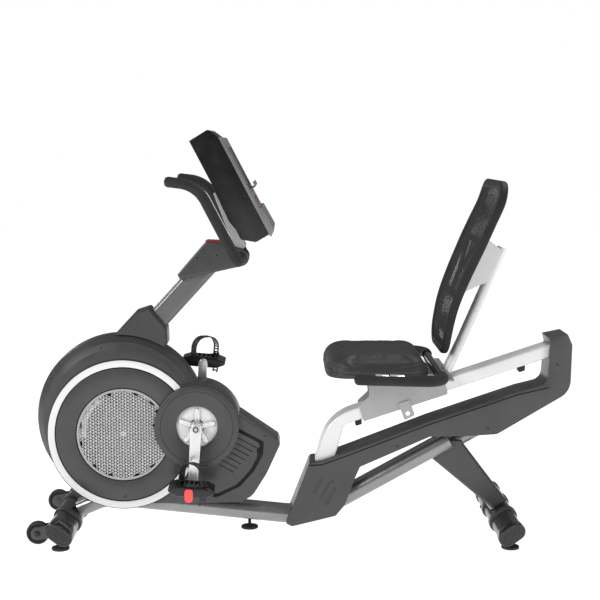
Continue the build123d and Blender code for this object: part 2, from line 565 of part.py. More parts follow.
# covers on both faces of the housing
shroud_cut = disc(*crank_axis, SHROUD_RADIUS + 0.5, -120, 0)
side_cover = ring(*flywheel_axis, RING_INNER, GRILLE_RADIUS, -TRIM_PROUD, -BEZEL_FACE) - shroud_cut - cover_screw
ring_trim = ring(*flywheel_axis, RING_OUTER, RING_INNER + 0.5, -TRIM_PROUD, -BEZEL_FACE) - shroud_cut
grille = disc(*flywheel_axis, GRILLE_RADIUS - 0.5, -TRIM_PROUD, -BEZEL_FACE) - shroud_cut
shroud = disc(*crank_axis, SHROUD_RADIUS, -BEZEL_FACE - SHROUD_DEPTH, -BEZEL_FACE)
shroud = fillet(shroud.edges().filter_by_position(Axis.Y, -BEZEL_FACE - SHROUD_DEPTH - 0.1,
                                                  -BEZEL_FACE - SHROUD_DEPTH + 0.1), 4)
shroud -= disc(*crank_axis, SHROUD_RECESS, -BEZEL_FACE - SHROUD_DEPTH, -BEZEL_FACE - 3)
shroud -= disc(*crank_axis, HUB_RADIUS + 3, -BEZEL_FACE - 3, -BEZEL_FACE)
for name, piece in (("side_covers", side_cover), ("ring_trims", ring_trim), ("grilles", grille),
                    ("crank_shrouds", shroud)):
    save(name, piece, mirrored(piece))

# ---- mast, handlebar, console -----------------------------------------------------------------
MAST_BASE = 8.0
MAST_EXTRA = 80.0                       # run below the foot plate, cut off level with it
mast_run = Pos(0, 0, -MAST_EXTRA) * mast_profile
mast_bore = Pos(0, 0, -MAST_EXTRA) * RectangleRounded(MAST_DEPTH - 2 * MAST_WALL, MAST_WIDTH - 2 * MAST_WALL,
                                                      MAST_CORNER - MAST_WALL)
mast_tube = (extrude(mast_direction * mast_run, MAST_LENGTH + MAST_EXTRA)
             - extrude(mast_direction * mast_bore, MAST_LENGTH + MAST_EXTRA))
mast_tube = mast_tube & block(-800, 0, -60, 60, MAST_FOOT[1] + MAST_BASE, 1000)
mast_base = block(MAST_FOOT[0] - 50, MAST_FOOT[0] + 62, -PLATE_OUTER, PLATE_OUTER,
                  MAST_FOOT[1], MAST_FOOT[1] + MAST_BASE)
mast_top = along(*MAST_FOOT, MAST_ANGLE, MAST_LENGTH)
clamp_axis = (CLAMP_X, CLAMP_Z)
CLAMP_RADIUS = 20.0
clamp_bore = disc(*clamp_axis, HANDLE_TUBE + RUNNING_FIT, -60, 60)
clamp = (disc(*clamp_axis, CLAMP_RADIUS, -24, 24)
         + prism(bar_between((mast_top[0] - 12, mast_top[1] - 8), clamp_axis, 36), -20, 20) - clamp_bore)
save("mast_tube", mast_tube + mast_base + clamp)

BOOT_HALF = 45.0
boot_profile = outline((-569, 617, 8), (-506, 685, 10), (-464, 699, 8), (-411, 636, 10), (-409, 587, 8),
                       (-429, 565, 0), (-553, 585, 0))
boot = prism(boot_profile, -BOOT_HALF, BOOT_HALF)
boot = chamfer(boot.edges().filter_by_position(Axis.Y, -BOOT_HALF - 0.1, -BOOT_HALF + 0.1)
               + boot.edges().filter_by_position(Axis.Y, BOOT_HALF - 0.1, BOOT_HALF + 0.1), 4)
housing_round = disc(*housing_axis, HOUSING_RADIUS + MOVING_GAP, -80, 80)
boot -= prism(outline((-565, 614, 5), (-505, 681, 7), (-465, 695, 5), (-415, 635, 7), (-413, 590, 5),
                      (-429, 560, 0), (-553, 560, 0)), -BOOT_HALF + SHELL_WALL, BOOT_HALF - SHELL_WALL)
save("mast_boot", boot - housing_round - mast_envelope)

HEAD_HALF = 40.0
BRACKET_HALF = 26.0                    # console bracket
HEAD_RADIUS = 27.0


def head_profile(shrink):
    """Cover over the mast's head, wrapped round the handlebar clamp."""
    corners = ((-366, 789), (-371, 797), (-302, 877), (-287, 893), (-244, 891))
    rounds = sum((Pos(x, z) * Circle(6 - shrink) for x, z in corners),
                 Pos(*clamp_axis) * Circle(HEAD_RADIUS - shrink))
    return make_hull(rounds.edges())


head = prism(head_profile(0), -HEAD_HALF, -SEAM) - prism(head_profile(SHELL_WALL), -HEAD_HALF + SHELL_WALL, 0)
bracket_slot = block(-230, -160, -BRACKET_HALF - COVER_GAP, 0, CLAMP_Z + 10, 960)
head = head - mast_envelope - disc(*clamp_axis, HANDLE_TUBE + 3, -80, 0) - bracket_slot
head_screws = [screw_head(x, z, HEAD_HALF) for x, z in ((-260, 854), (-319, 847))]
for screw in head_screws:
    head -= screw
save("upper_covers", head, mirrored(head))

HANDLE_SWEEP, HANDLE_BEND = 95.0, 45.0
handle_route = [(-394, 1084), (-303, 1073), (CLAMP_X, CLAMP_Z)]
handle_points = ([(x, -HANDLE_PLANE, z) for x, z in handle_route]
                 + [(x, HANDLE_PLANE, z) for x, z in reversed(handle_route)])
handle_radii = [HANDLE_SWEEP, HANDLE_BEND, HANDLE_BEND, HANDLE_SWEEP]
save("handlebar", pipe(HANDLE_TUBE, handle_points, handle_radii)
     - pipe(HANDLE_TUBE - TUBE_WALL, handle_points, handle_radii))
GRIP_INNER_END = 62.0
grip_points = handle_points[:3] + [(CLAMP_X, -GRIP_INNER_END, CLAMP_Z)]
grip_radii = [HANDLE_SWEEP, HANDLE_BEND]
grip = pipe(HANDLE_TUBE + GRIP_FOAM, grip_points, grip_radii) - pipe(HANDLE_TUBE, grip_points, grip_radii)
save("handlebar_grips", grip, mirrored(grip))

# the console lies back 27.5 degrees; its own frame has U up the face and V out of the face
FACE_ANGLE = 117.5
FACE_LOW = (-124.0, 978.0)
FACE_LENGTH = 263.0


def face_point(up, out):
    """X-Z point from a distance up the console's face and a distance out of it."""
    x, z = along(*FACE_LOW, FACE_ANGLE, up)
    return along(x, z, FACE_ANGLE - 90, out)


def face_profile(*corners):
    """Console outline from (up, out, radius) corners."""
    return outline(*[(*face_point(up, out), radius) for up, out, radius in corners])


BACK_OUT = 90.0                        # depth of the case behind the face
SIDE_DEPTH, BACK_HALF = 52.0, 124.0    # the back is narrower than the face
face_up = (cos(radians(FACE_ANGLE)), 0, sin(radians(FACE_ANGLE)))


def console_case(shrink):
    """Deep tray of the console, drawn in by a wall."""
    s, half = shrink, CONSOLE_HALF_WIDTH - shrink
    profile = face_profile((FACE_LENGTH - s, 0, 0), (FACE_LENGTH + 33 - s, -16, 8),
                           (FACE_LENGTH + 28 - s, -BACK_OUT + 5 + s, 4), (26, -BACK_OUT - 5 + s, 14),
                           (-31 + s, -BACK_OUT + 9 + s, 12), (-59 + s, -45, 8), (-57 + s, 0, 0))
    plan = Polygon((-half, -80), (half, -80), (half, SIDE_DEPTH - s), (BACK_HALF - s, BACK_OUT + 20),
                   (s - BACK_HALF, BACK_OUT + 20), (-half, SIDE_DEPTH - s), align=None)
    foot_x, foot_z = along(*FACE_LOW, FACE_ANGLE, -120)
    tray = extrude(Plane(origin=(foot_x, 0, foot_z), x_dir=(0, 1, 0), z_dir=face_up) * plan, 500)
    return prism(profile, -half, half) & tray


case = console_case(0)
save("console_rear_case", case - console_case(SHELL_WALL))
BEZEL_DEPTH = 10.0
bezel_profile = face_profile((FACE_LENGTH, 0, 0), (FACE_LENGTH - 6, BEZEL_DEPTH, 3), (26, BEZEL_DEPTH, 0),
                             (22, BEZEL_DEPTH + 8, 2), (-52, BEZEL_DEPTH + 10, 8), (-72, -6, 0), (-60, 0, 0))
bezel = prism(bezel_profile, -CONSOLE_HALF_WIDTH, CONSOLE_HALF_WIDTH) - case
SCREEN_LOW, SCREEN_HIGH, SCREEN_HALF = 96.0, 226.0, 118.0
SCREEN_DEPTH = 4.0
GLASS_THICKNESS = 3.0


def screen_solid(depth):
    """Block on the floor of the screen's pocket."""
    floor = BEZEL_DEPTH - SCREEN_DEPTH
    profile = face_profile((SCREEN_LOW, floor, 0), (SCREEN_HIGH, floor, 0), (SCREEN_HIGH, floor + depth, 0),
                           (SCREEN_LOW, floor + depth, 0))
    return prism(profile, -SCREEN_HALF, SCREEN_HALF)


bezel -= screen_solid(SCREEN_DEPTH + 2)
save("console_screen", screen_solid(GLASS_THICKNESS))

KEY_RADIUS, KEY_TRAVEL, KEY_UP, KEY_PROUD = 11.0, 1.2, 48.0, 2.5
KEY_PITCH = 44.0
key_plane = Plane(origin=(face_point(KEY_UP, 0)[0], 0, face_point(KEY_UP, 0)[1]), x_dir=(0, 1, 0),
                  z_dir=(cos(radians(FACE_ANGLE - 90)), 0, sin(radians(FACE_ANGLE - 90))))
for name, y in (("console_key_down", -KEY_PITCH), ("console_key_start", 0), ("console_key_up", KEY_PITCH)):
    well = extrude(key_plane * Pos(y, 0, 2) * Circle(KEY_RADIUS + 0.4), 20)
    bezel -= well
    save(name, extrude(key_plane * Pos(y, 0, 2 + KEY_TRAVEL + 0.3) * Circle(KEY_RADIUS),
                       BEZEL_DEPTH + KEY_PROUD - 2 - KEY_TRAVEL))
save("console_bezel", bezel)

LEDGE_UP, LEDGE_HALF = 84.0, 110.0
ledge = prism(face_profile((LEDGE_UP, BEZEL_DEPTH, 0), (LEDGE_UP + 3, BEZEL_DEPTH, 0),
                           (LEDGE_UP + 3, BEZEL_DEPTH + 17, 0), (LEDGE_UP + 16, BEZEL_DEPTH + 17, 1),
                           (LEDGE_UP + 16, BEZEL_DEPTH + 20, 1), (LEDGE_UP, BEZEL_DEPTH + 20, 2)),
              -LEDGE_HALF, LEDGE_HALF)
save("media_ledge", ledge)

bracket_profile = outline((CLAMP_X - 2, CLAMP_Z + CLAMP_RADIUS - 4, 0), (CLAMP_X + 18, CLAMP_Z + 34, 4),
                          (-190, 935, 6), (*face_point(24, -BACK_OUT + 10), 0),
                          (*face_point(124, -BACK_OUT + 10), 0), (*face_point(124, -BACK_OUT - 8), 3),
                          (-231, 946, 10), (CLAMP_X - 18, CLAMP_Z + 30, 4))
console_bracket = prism(bracket_profile, -BRACKET_HALF, BRACKET_HALF) - clamp - case
save("console_bracket", console_bracket - disc(*clamp_axis, CLAMP_RADIUS, -60, 60))

# ---- seat rail --------------------------------------------------------------------------------
half_rail = RAIL_HEIGHT / 2
LEG_OUTER, LEG_INNER = (-14.0, 80.0), (52.0, 110.0)
KNEE_OUTER, KNEE_INNER = (76.6, rail_line(76.6, half_rail)), (129.0, rail_line(129.0, -half_rail))


def rail_profile(wall):
    """Side profile of the rail and its front leg, drawn in by a wall."""
    return outline((RAIL_END_X - wall / 2, rail_line(RAIL_END_X, half_rail - wall), 0),
                   (KNEE_OUTER[0] + wall, KNEE_OUTER[1] - wall, 150),
                   (LEG_OUTER[0] + wall, LEG_OUTER[1] - 60 + wall, 0),
                   (LEG_INNER[0] - wall, LEG_INNER[1] - 60 + wall, 0),
                   (KNEE_INNER[0] - wall, KNEE_INNER[1] + wall, 18),
                   (RAIL_END_X - wall / 2, rail_line(RAIL_END_X, -half_rail + wall), 0))


rail_outer = prism(rail_profile(0), -RAIL_WIDTH / 2, RAIL_WIDTH / 2)
rail_long = [e for e in rail_outer.edges() if abs(abs(e.center().Y) - RAIL_WIDTH / 2) < 0.1 and e.length > 60]
rail_outer = fillet(rail_long, 5)
rail_inner = prism(rail_profile(TUBE_WALL + 0.5), -RAIL_WIDTH / 2 + 2.5, RAIL_WIDTH / 2 - 2.5)
seat_rail = (rail_outer - rail_inner - tube_solid) & block(-200, 900, -200, 200, 70, 900)
save("seat_rail", seat_rail.solids().sort_by(SortBy.VOLUME)[-1])

STOP_SIZE = 20.0


def rail_stop(x):
    """Block bolted under the rail."""
    low, high = x - STOP_SIZE / 2, x + STOP_SIZE / 2
    return prism(outline((low, rail_line(low, -half_rail), 0), (high, rail_line(high, -half_rail), 0),
                         (high, rail_line(high, -half_rail - STOP_SIZE), 4),
                         (low, rail_line(low, -half_rail - STOP_SIZE), 4)), -16, 16)


CARRIAGE_LOW, CARRIAGE_HIGH = 189.0, 445.0
FRONT_STOP_X = CARRIAGE_LOW - STOP_SIZE / 2 - 4
REAR_STOP_X = CARRIAGE_HIGH + SEAT_TRAVEL * cos(radians(RAIL_SLOPE)) + STOP_SIZE / 2 + 8
save("rail_stops", rail_stop(FRONT_STOP_X), rail_stop(REAR_STOP_X))

# ---- rear casing and leg covers ---------------------------------------------------------------
def casing_profile(shrink):
    """Side profile of the casing round the seat rail's supports."""
    s = shrink
    return outline((-50 + s, 30 + s / 2, 6), (24 + s, 221 - s, 14), (62, 225 - s, 30), (141, 254 - s, 30),
                   (391, 350 - s, 60), (665, 443 - s, 60), (748 + s, 464 - s, 34), (756 + s, 585, 0),
                   (750 + s, 606 - s, 0), (807 - s, 618 - s, 0), (822 - s, 585, 12), (819 - s, 440 + s, 60),
                   (597, 308 + s, 30), (514, 303 + s, 20), (392, 301 + s, 10), (178, 207 + s, 10),
                   (163, 173 + s / 2, 10), (132 - s, 88, 40), (104, 53 + s, 20), (-31 + s, 20 + s, 8))


casing_outer = prism(casing_profile(0), -REAR_CASING_HALF_WIDTH, -SEAM)
casing_rim = casing_outer.edges().filter_by_position(Axis.Y, -REAR_CASING_HALF_WIDTH - 0.1,
                                                     -REAR_CASING_HALF_WIDTH + 0.1)
casing_outer = chamfer(casing_rim, 4)
casing = casing_outer - prism(casing_profile(SHELL_WALL), -REAR_CASING_HALF_WIDTH + SHELL_WALL, 0)
rail_clear = prism(rail_profile(-COVER_GAP), -RAIL_WIDTH / 2 - COVER_GAP, 0)
leg_clear = oval_pipe(LEG_WIDTH + 6, LEG_HEIGHT + 6, leg_route, [])
casing = casing - rail_clear - tube_envelope - leg_clear - riser_envelope
casing -= prism(outline((392, 296, 0), (597, 300, 0), (540, 330, 0), (430, 318, 0)), -34, 0)
casing = casing.solids().sort_by(SortBy.VOLUME)[-1]
casing_screws = [screw_head(x, z, REAR_CASING_HALF_WIDTH)
                 for x, z in ((94, 160), (292, 271), (569, 325), (778, 522))]
for screw in casing_screws:
    casing -= screw
save("rear_casing_left", casing)
save("rear_casing_right", mirrored(casing))

COVER_HALF = 30.0


def leg_cover_profile(shrink):
    """Side profile of the rear leg's cover."""
    s = shrink
    return outline((413, 286 - s, 0), (386 + s, 264, 6), (376 + s, 247 + s, 8), (592, 66 + s, 6),
                   (638 - s, 88, 6), (500 - s, 270 - s, 8), (494 - s, 286 - s, 0))


leg_cover = (prism(leg_cover_profile(0), -COVER_HALF, -SEAM)
             - prism(leg_cover_profile(SHELL_WALL), -COVER_HALF + SHELL_WALL, 0))
rear_clear = prism(stabilizer_profile(REAR_STABILIZER_X, REAR_STABILIZER_Z, STABILIZER_TILT, 0.5), -300, 300)
leg_cover = leg_cover - tube_envelope - leg_clear - riser_envelope - rear_clear - casing_outer
leg_cover = leg_cover.solids().sort_by(SortBy.VOLUME)[-1]
save("rear_leg_covers", leg_cover, mirrored(leg_cover))

# ---- seat carriage ----------------------------------------------------------------------------
plate_inner = RAIL_WIDTH / 2 + SIDE_GAP
plate_outer = plate_inner + 4
BASE_THICKNESS = 5.0
base_low = SEAT_BASE_Z - BASE_THICKNESS
side_plate = outline((206, 425, 4), (200, base_low, 0), (430, base_low, 0), (438, 462, 4),
                     (CARRIAGE_HIGH + 2, rail_line(CARRIAGE_HIGH, -half_rail - 8), 6),
                     (CARRIAGE_LOW, rail_line(CARRIAGE_LOW, -half_rail - 8), 6), (174, 395, 4))
cross_plate = outline((CARRIAGE_LOW + 4, rail_line(CARRIAGE_LOW + 4, -half_rail - 2), 0),
                      (CARRIAGE_HIGH - 4, rail_line(CARRIAGE_HIGH - 4, -half_rail - 2), 0),
                      (CARRIAGE_HIGH - 4, rail_line(CARRIAGE_HIGH - 4, -half_rail - 7), 0),
                      (CARRIAGE_LOW + 4, rail_line(CARRIAGE_LOW + 4, -half_rail - 7), 0))
carriage = (prism(side_plate, -plate_outer, -plate_inner) + prism(side_plate, plate_inner, plate_outer)
            + prism(cross_plate, -plate_inner, plate_inner))
base_plate = block(100, 446, -plate_outer - 60, plate_outer + 60, base_low, SEAT_BASE_Z)
GRIP_TUBE = 11.0
handle_arm = block(396, 446, -SEAT_GRIP_PLANE + 96, SEAT_GRIP_PLANE - 96, base_low, SEAT_BASE_Z)
LOCK_HOLE = (324.0, 371.0)
LOCK_HOLE_RADIUS = 7.0
lock_plate = prism(outline((295, 402, 3), (328, 414, 3), (346, 367, 5), (314, 350, 5))
                   - Pos(*LOCK_HOLE) * Circle(LOCK_HOLE_RADIUS), -plate_outer - 5, -plate_outer)
ROLLER_RADIUS = 14.0
rollers = []
for x in (230.0, 410.0):
    z = rail_line(x, half_rail + ROLLER_RADIUS + MOVING_GAP)
    rollers.append(disc(x, z, ROLLER_RADIUS, -plate_inner, plate_inner))
LEVER_AXIS = (300.0, 455.0)
carriage += lock_plate + base_plate + handle_arm
lever_pin = disc(*LEVER_AXIS, 5, plate_outer, plate_outer + 14)
carriage += lever_pin

TUBE_POINTS = [(443.0, 491.0), (488.0, 586.0), (613.0, 877.0)]
BACK_TUBE_WIDTH, BACK_TUBE_DEPTH = 50.0, 26.0
back_tube = oval_pipe(BACK_TUBE_WIDTH, BACK_TUBE_DEPTH, TUBE_POINTS, [120])
back_bore = oval_pipe(BACK_TUBE_WIDTH - 2 * TUBE_WALL, BACK_TUBE_DEPTH - 2 * TUBE_WALL, TUBE_POINTS, [120])
save("seat_carriage", carriage - back_tube, *rollers)

# bracket between the back tube and the backrest
BRACKET_PLANE = 25.0
bracket_profile = outline((486, 740, 4), (560, 772, 4), (612, 868, 6), (536, 925, 4), (512, 868, 4))
back_brackets = (prism(bracket_profile, -BRACKET_PLANE - 4, -BRACKET_PLANE)
                 + prism(bracket_profile, BRACKET_PLANE, BRACKET_PLANE + 4))
save("back_support", back_tube + back_brackets - back_bore)

# ---- lever, handle, cushion -------------------------------------------------------------------
lever_low = plate_outer + 2
lever_end = (190.0, 452.0)
lever = prism(bar_between(LEVER_AXIS, lever_end, 22) - Pos(*LEVER_AXIS) * Circle(5 + RUNNING_FIT),
              lever_low, lever_low + 6)
lever += disc(*lever_end, 6, lever_low + 6, 150) + disc(*lever_end, 11, 150, 215)
save("seat_lever", lever)

SEAT_HANDLE_BEND = 60.0
cross_x, cross_z = 408.0, SEAT_BASE_Z + GRIP_TUBE
SEAT_GRIP_FRONT = 149.0
seat_handle_points = [(SEAT_GRIP_FRONT, -SEAT_GRIP_PLANE, SEAT_GRIP_Z), (cross_x, -SEAT_GRIP_PLANE, cross_z),
                      (cross_x, SEAT_GRIP_PLANE, cross_z), (SEAT_GRIP_FRONT, SEAT_GRIP_PLANE, SEAT_GRIP_Z)]
seat_radii = [SEAT_HANDLE_BEND, SEAT_HANDLE_BEND]
save("seat_handle", pipe(GRIP_TUBE, seat_handle_points, seat_radii)
     - pipe(GRIP_TUBE - TUBE_WALL, seat_handle_points, seat_radii))
foam_points = [(SEAT_GRIP_FRONT, -SEAT_GRIP_PLANE, SEAT_GRIP_Z), (cross_x, -SEAT_GRIP_PLANE, cross_z),
               (cross_x, -SEAT_GRIP_PLANE + 90, cross_z)]
SEAT_FOAM = 5.5
foam = (pipe(GRIP_TUBE + SEAT_FOAM, foam_points, [SEAT_HANDLE_BEND])
        - pipe(GRIP_TUBE, foam_points, [SEAT_HANDLE_BEND]))
save("seat_handle_grips", foam, mirrored(foam))

cushion_base = SEAT_BASE_Z + MOVING_GAP
CUSHION_HEIGHT = 62.0
CUSHION_X, CUSHION_LENGTH, CUSHION_CORNER = 222.0, 305.0, 70.0
cushion_plan = Pos(CUSHION_X, 0) * RectangleRounded(CUSHION_LENGTH, 2 * CUSHION_HALF_WIDTH, CUSHION_CORNER)
cushion = Pos(0, 0, cushion_base) * extrude(cushion_plan, CUSHION_HEIGHT)
cushion = chamfer(cushion.edges().group_by(Axis.Z)[-1], 28, 34)
save("seat_cushion", cushion)

# ---- backrest ---------------------------------------------------------------------------------
BACK_POINTS = [(423, 562), (431, 636), (448, 715), (476, 792), (510, 871), (549, 958), (577, 1021), (592, 1084)]
back_centre = Spline(*BACK_POINTS)


def back_slab(thickness):
    """Curved sheet of even thickness across the backrest."""
    half = thickness / 2
    samples = [back_centre @ (i / 8) for i in range(9)]
    slopes = [back_centre % (i / 8) for i in range(9)]
    front = [(p.X - t.Y * half, p.Y + t.X * half) for p, t in zip(samples, slopes)]
    rear = [(p.X + t.Y * half, p.Y - t.X * half) for p, t in zip(samples, slopes)]
    edges = [Spline(*front), Line(front[-1], rear[-1]), Spline(*rear), Line(rear[0], front[0])]
    return prism(make_face(edges), -BACK_HALF_WIDTH - 20, BACK_HALF_WIDTH + 20)


def back_window(shrink):
    """Front view of the backrest, drawn in by the bar's width."""
    w, top, low = BACK_HALF_WIDTH + 14 - shrink, 1083 - shrink, 566 + shrink
    return outline((-w + 14, top, 70 - shrink), (w - 14, top, 70 - shrink), (w, 900, 200), (w - 52, low, 60),
                   (-w + 52, low, 60), (-w, 900, 200))


def forward(profile):
    """Front view profile extruded along X through the backrest."""
    return Pos(300, 0, 0) * extrude(Plane.YZ * profile, 400)


back_outer, back_inner = forward(back_window(0)), forward(back_window(BACK_BAR))
frame_slab = back_slab(24)
sheet_slab = back_slab(3)
band_profile = (Pos(0, 905) * Rectangle(420, 20) + Pos(0, 742) * Rectangle(420, 20))
bands = (frame_slab & forward(band_profile) & back_inner & back_slab(10))
brace_profile = (bar_between((-120, 905), (-14, 820), 26) + bar_between((120, 905), (14, 820), 26)
                 + bar_between((0, 830), (0, 742), 34))
brace = back_slab(10) & forward(brace_profile) & back_inner
backrest_frame = (frame_slab & back_outer) - back_inner + bands + brace - back_tube - back_brackets
save("backrest_frame", backrest_frame.solids().sort_by(SortBy.VOLUME)[-1])
mesh_sheet = (sheet_slab & back_inner) - bands - brace
save("backrest_mesh", *mesh_sheet.solids())

# ---- fasteners --------------------------------------------------------------------------------
wheel_bolt = (disc(*front_wheel, WHEEL_BORE, wheel_inner - FORK_THICKNESS, wheel_outer + FORK_THICKNESS)
              + disc(*front_wheel, 8, wheel_outer + FORK_THICKNESS, wheel_outer + FORK_THICKNESS + 4)
              + disc(*front_wheel, 8, wheel_inner - FORK_THICKNESS - 5, wheel_inner - FORK_THICKNESS))
pivot_pin = disc(*YOKE_PIVOT, PIVOT_RADIUS, -PLATE_OUTER, PLATE_OUTER)
screws = housing_screws + [cover_screw] + head_screws + casing_screws
screws += [mirrored(screw) for screw in screws]
save("fasteners", *screws, wheel_bolt, mirrored(wheel_bolt), pivot_pin)
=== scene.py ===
"""Looks of a recumbent exercise bike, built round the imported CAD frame.

The row frame is in metres on the floor: X runs along the machine with the flywheel at -X and the seat
at +X, -Y is the rider's left and Z is up. Sizes in this file are in millimetres and are turned into
metres where a mesh is made.
"""

import logging
import math
from collections.abc import Callable, Iterable, Sequence
from dataclasses import dataclass
from enum import Enum

import bmesh
import bpy
from mathutils import Euler, Matrix, Vector


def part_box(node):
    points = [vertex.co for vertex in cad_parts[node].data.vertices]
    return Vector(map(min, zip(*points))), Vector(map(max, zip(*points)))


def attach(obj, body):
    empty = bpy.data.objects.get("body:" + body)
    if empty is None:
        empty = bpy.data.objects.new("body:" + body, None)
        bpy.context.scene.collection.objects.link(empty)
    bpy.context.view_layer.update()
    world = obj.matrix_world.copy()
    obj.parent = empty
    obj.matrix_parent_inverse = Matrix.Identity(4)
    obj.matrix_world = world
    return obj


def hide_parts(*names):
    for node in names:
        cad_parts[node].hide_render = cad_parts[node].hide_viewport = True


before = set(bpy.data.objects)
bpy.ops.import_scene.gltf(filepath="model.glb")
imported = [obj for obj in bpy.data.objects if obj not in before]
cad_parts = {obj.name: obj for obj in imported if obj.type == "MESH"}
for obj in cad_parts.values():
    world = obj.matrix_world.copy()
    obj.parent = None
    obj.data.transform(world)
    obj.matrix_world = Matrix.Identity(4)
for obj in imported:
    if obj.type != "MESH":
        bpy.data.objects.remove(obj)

LOG = logging.getLogger("bike")
MM = 0.001

Vec2 = tuple[float, float]
Vec3 = tuple[float, float, float]
Corner = tuple[float, float, float]


# ---- finishes ---------------------------------------------------------------------------------
class Texture(Enum):
    """Relief that a finish has on top of its grain."""

    GRAIN = "grain"
    BRUSHED = "brushed"
    LEATHER = "leather"
    FOAM = "foam"
    WEAVE = "weave"
    CAST = "cast"
    SMOOTH = "smooth"


@dataclass(frozen=True)
class Finish:
    """Procedural surface on object coordinates.

    Args:
        name: Material name.
        colour: Base colour, linear.
        roughness: Middle roughness.
        metallic: Metal share.
        texture: Relief.
        relief: Strength of the relief.
        mottle: Share by which the colour varies.
        wear: Share of the surface that is rubbed.
        coat: Clear coat weight.
        sheen: Cloth sheen weight.
        glow: Light given off, for the floor.
        open_weave: Lets light through between the threads.
    """

    name: str
    colour: Vec3
    roughness: float = 0.5
    metallic: float = 0.0
    texture: Texture = Texture.GRAIN
    relief: float = 0.15
    mottle: float = 0.08
    wear: float = 0.15
    coat: float = 0.0
    sheen: float = 0.0
    glow: float = 0.0
    open_weave: bool = False

    def material(self) -> bpy.types.Material:
        """Makes the material, or returns the one already made."""
        made = bpy.data.materials.get(f"look_{self.name}")
        return made if made else FinishTree(self).build()


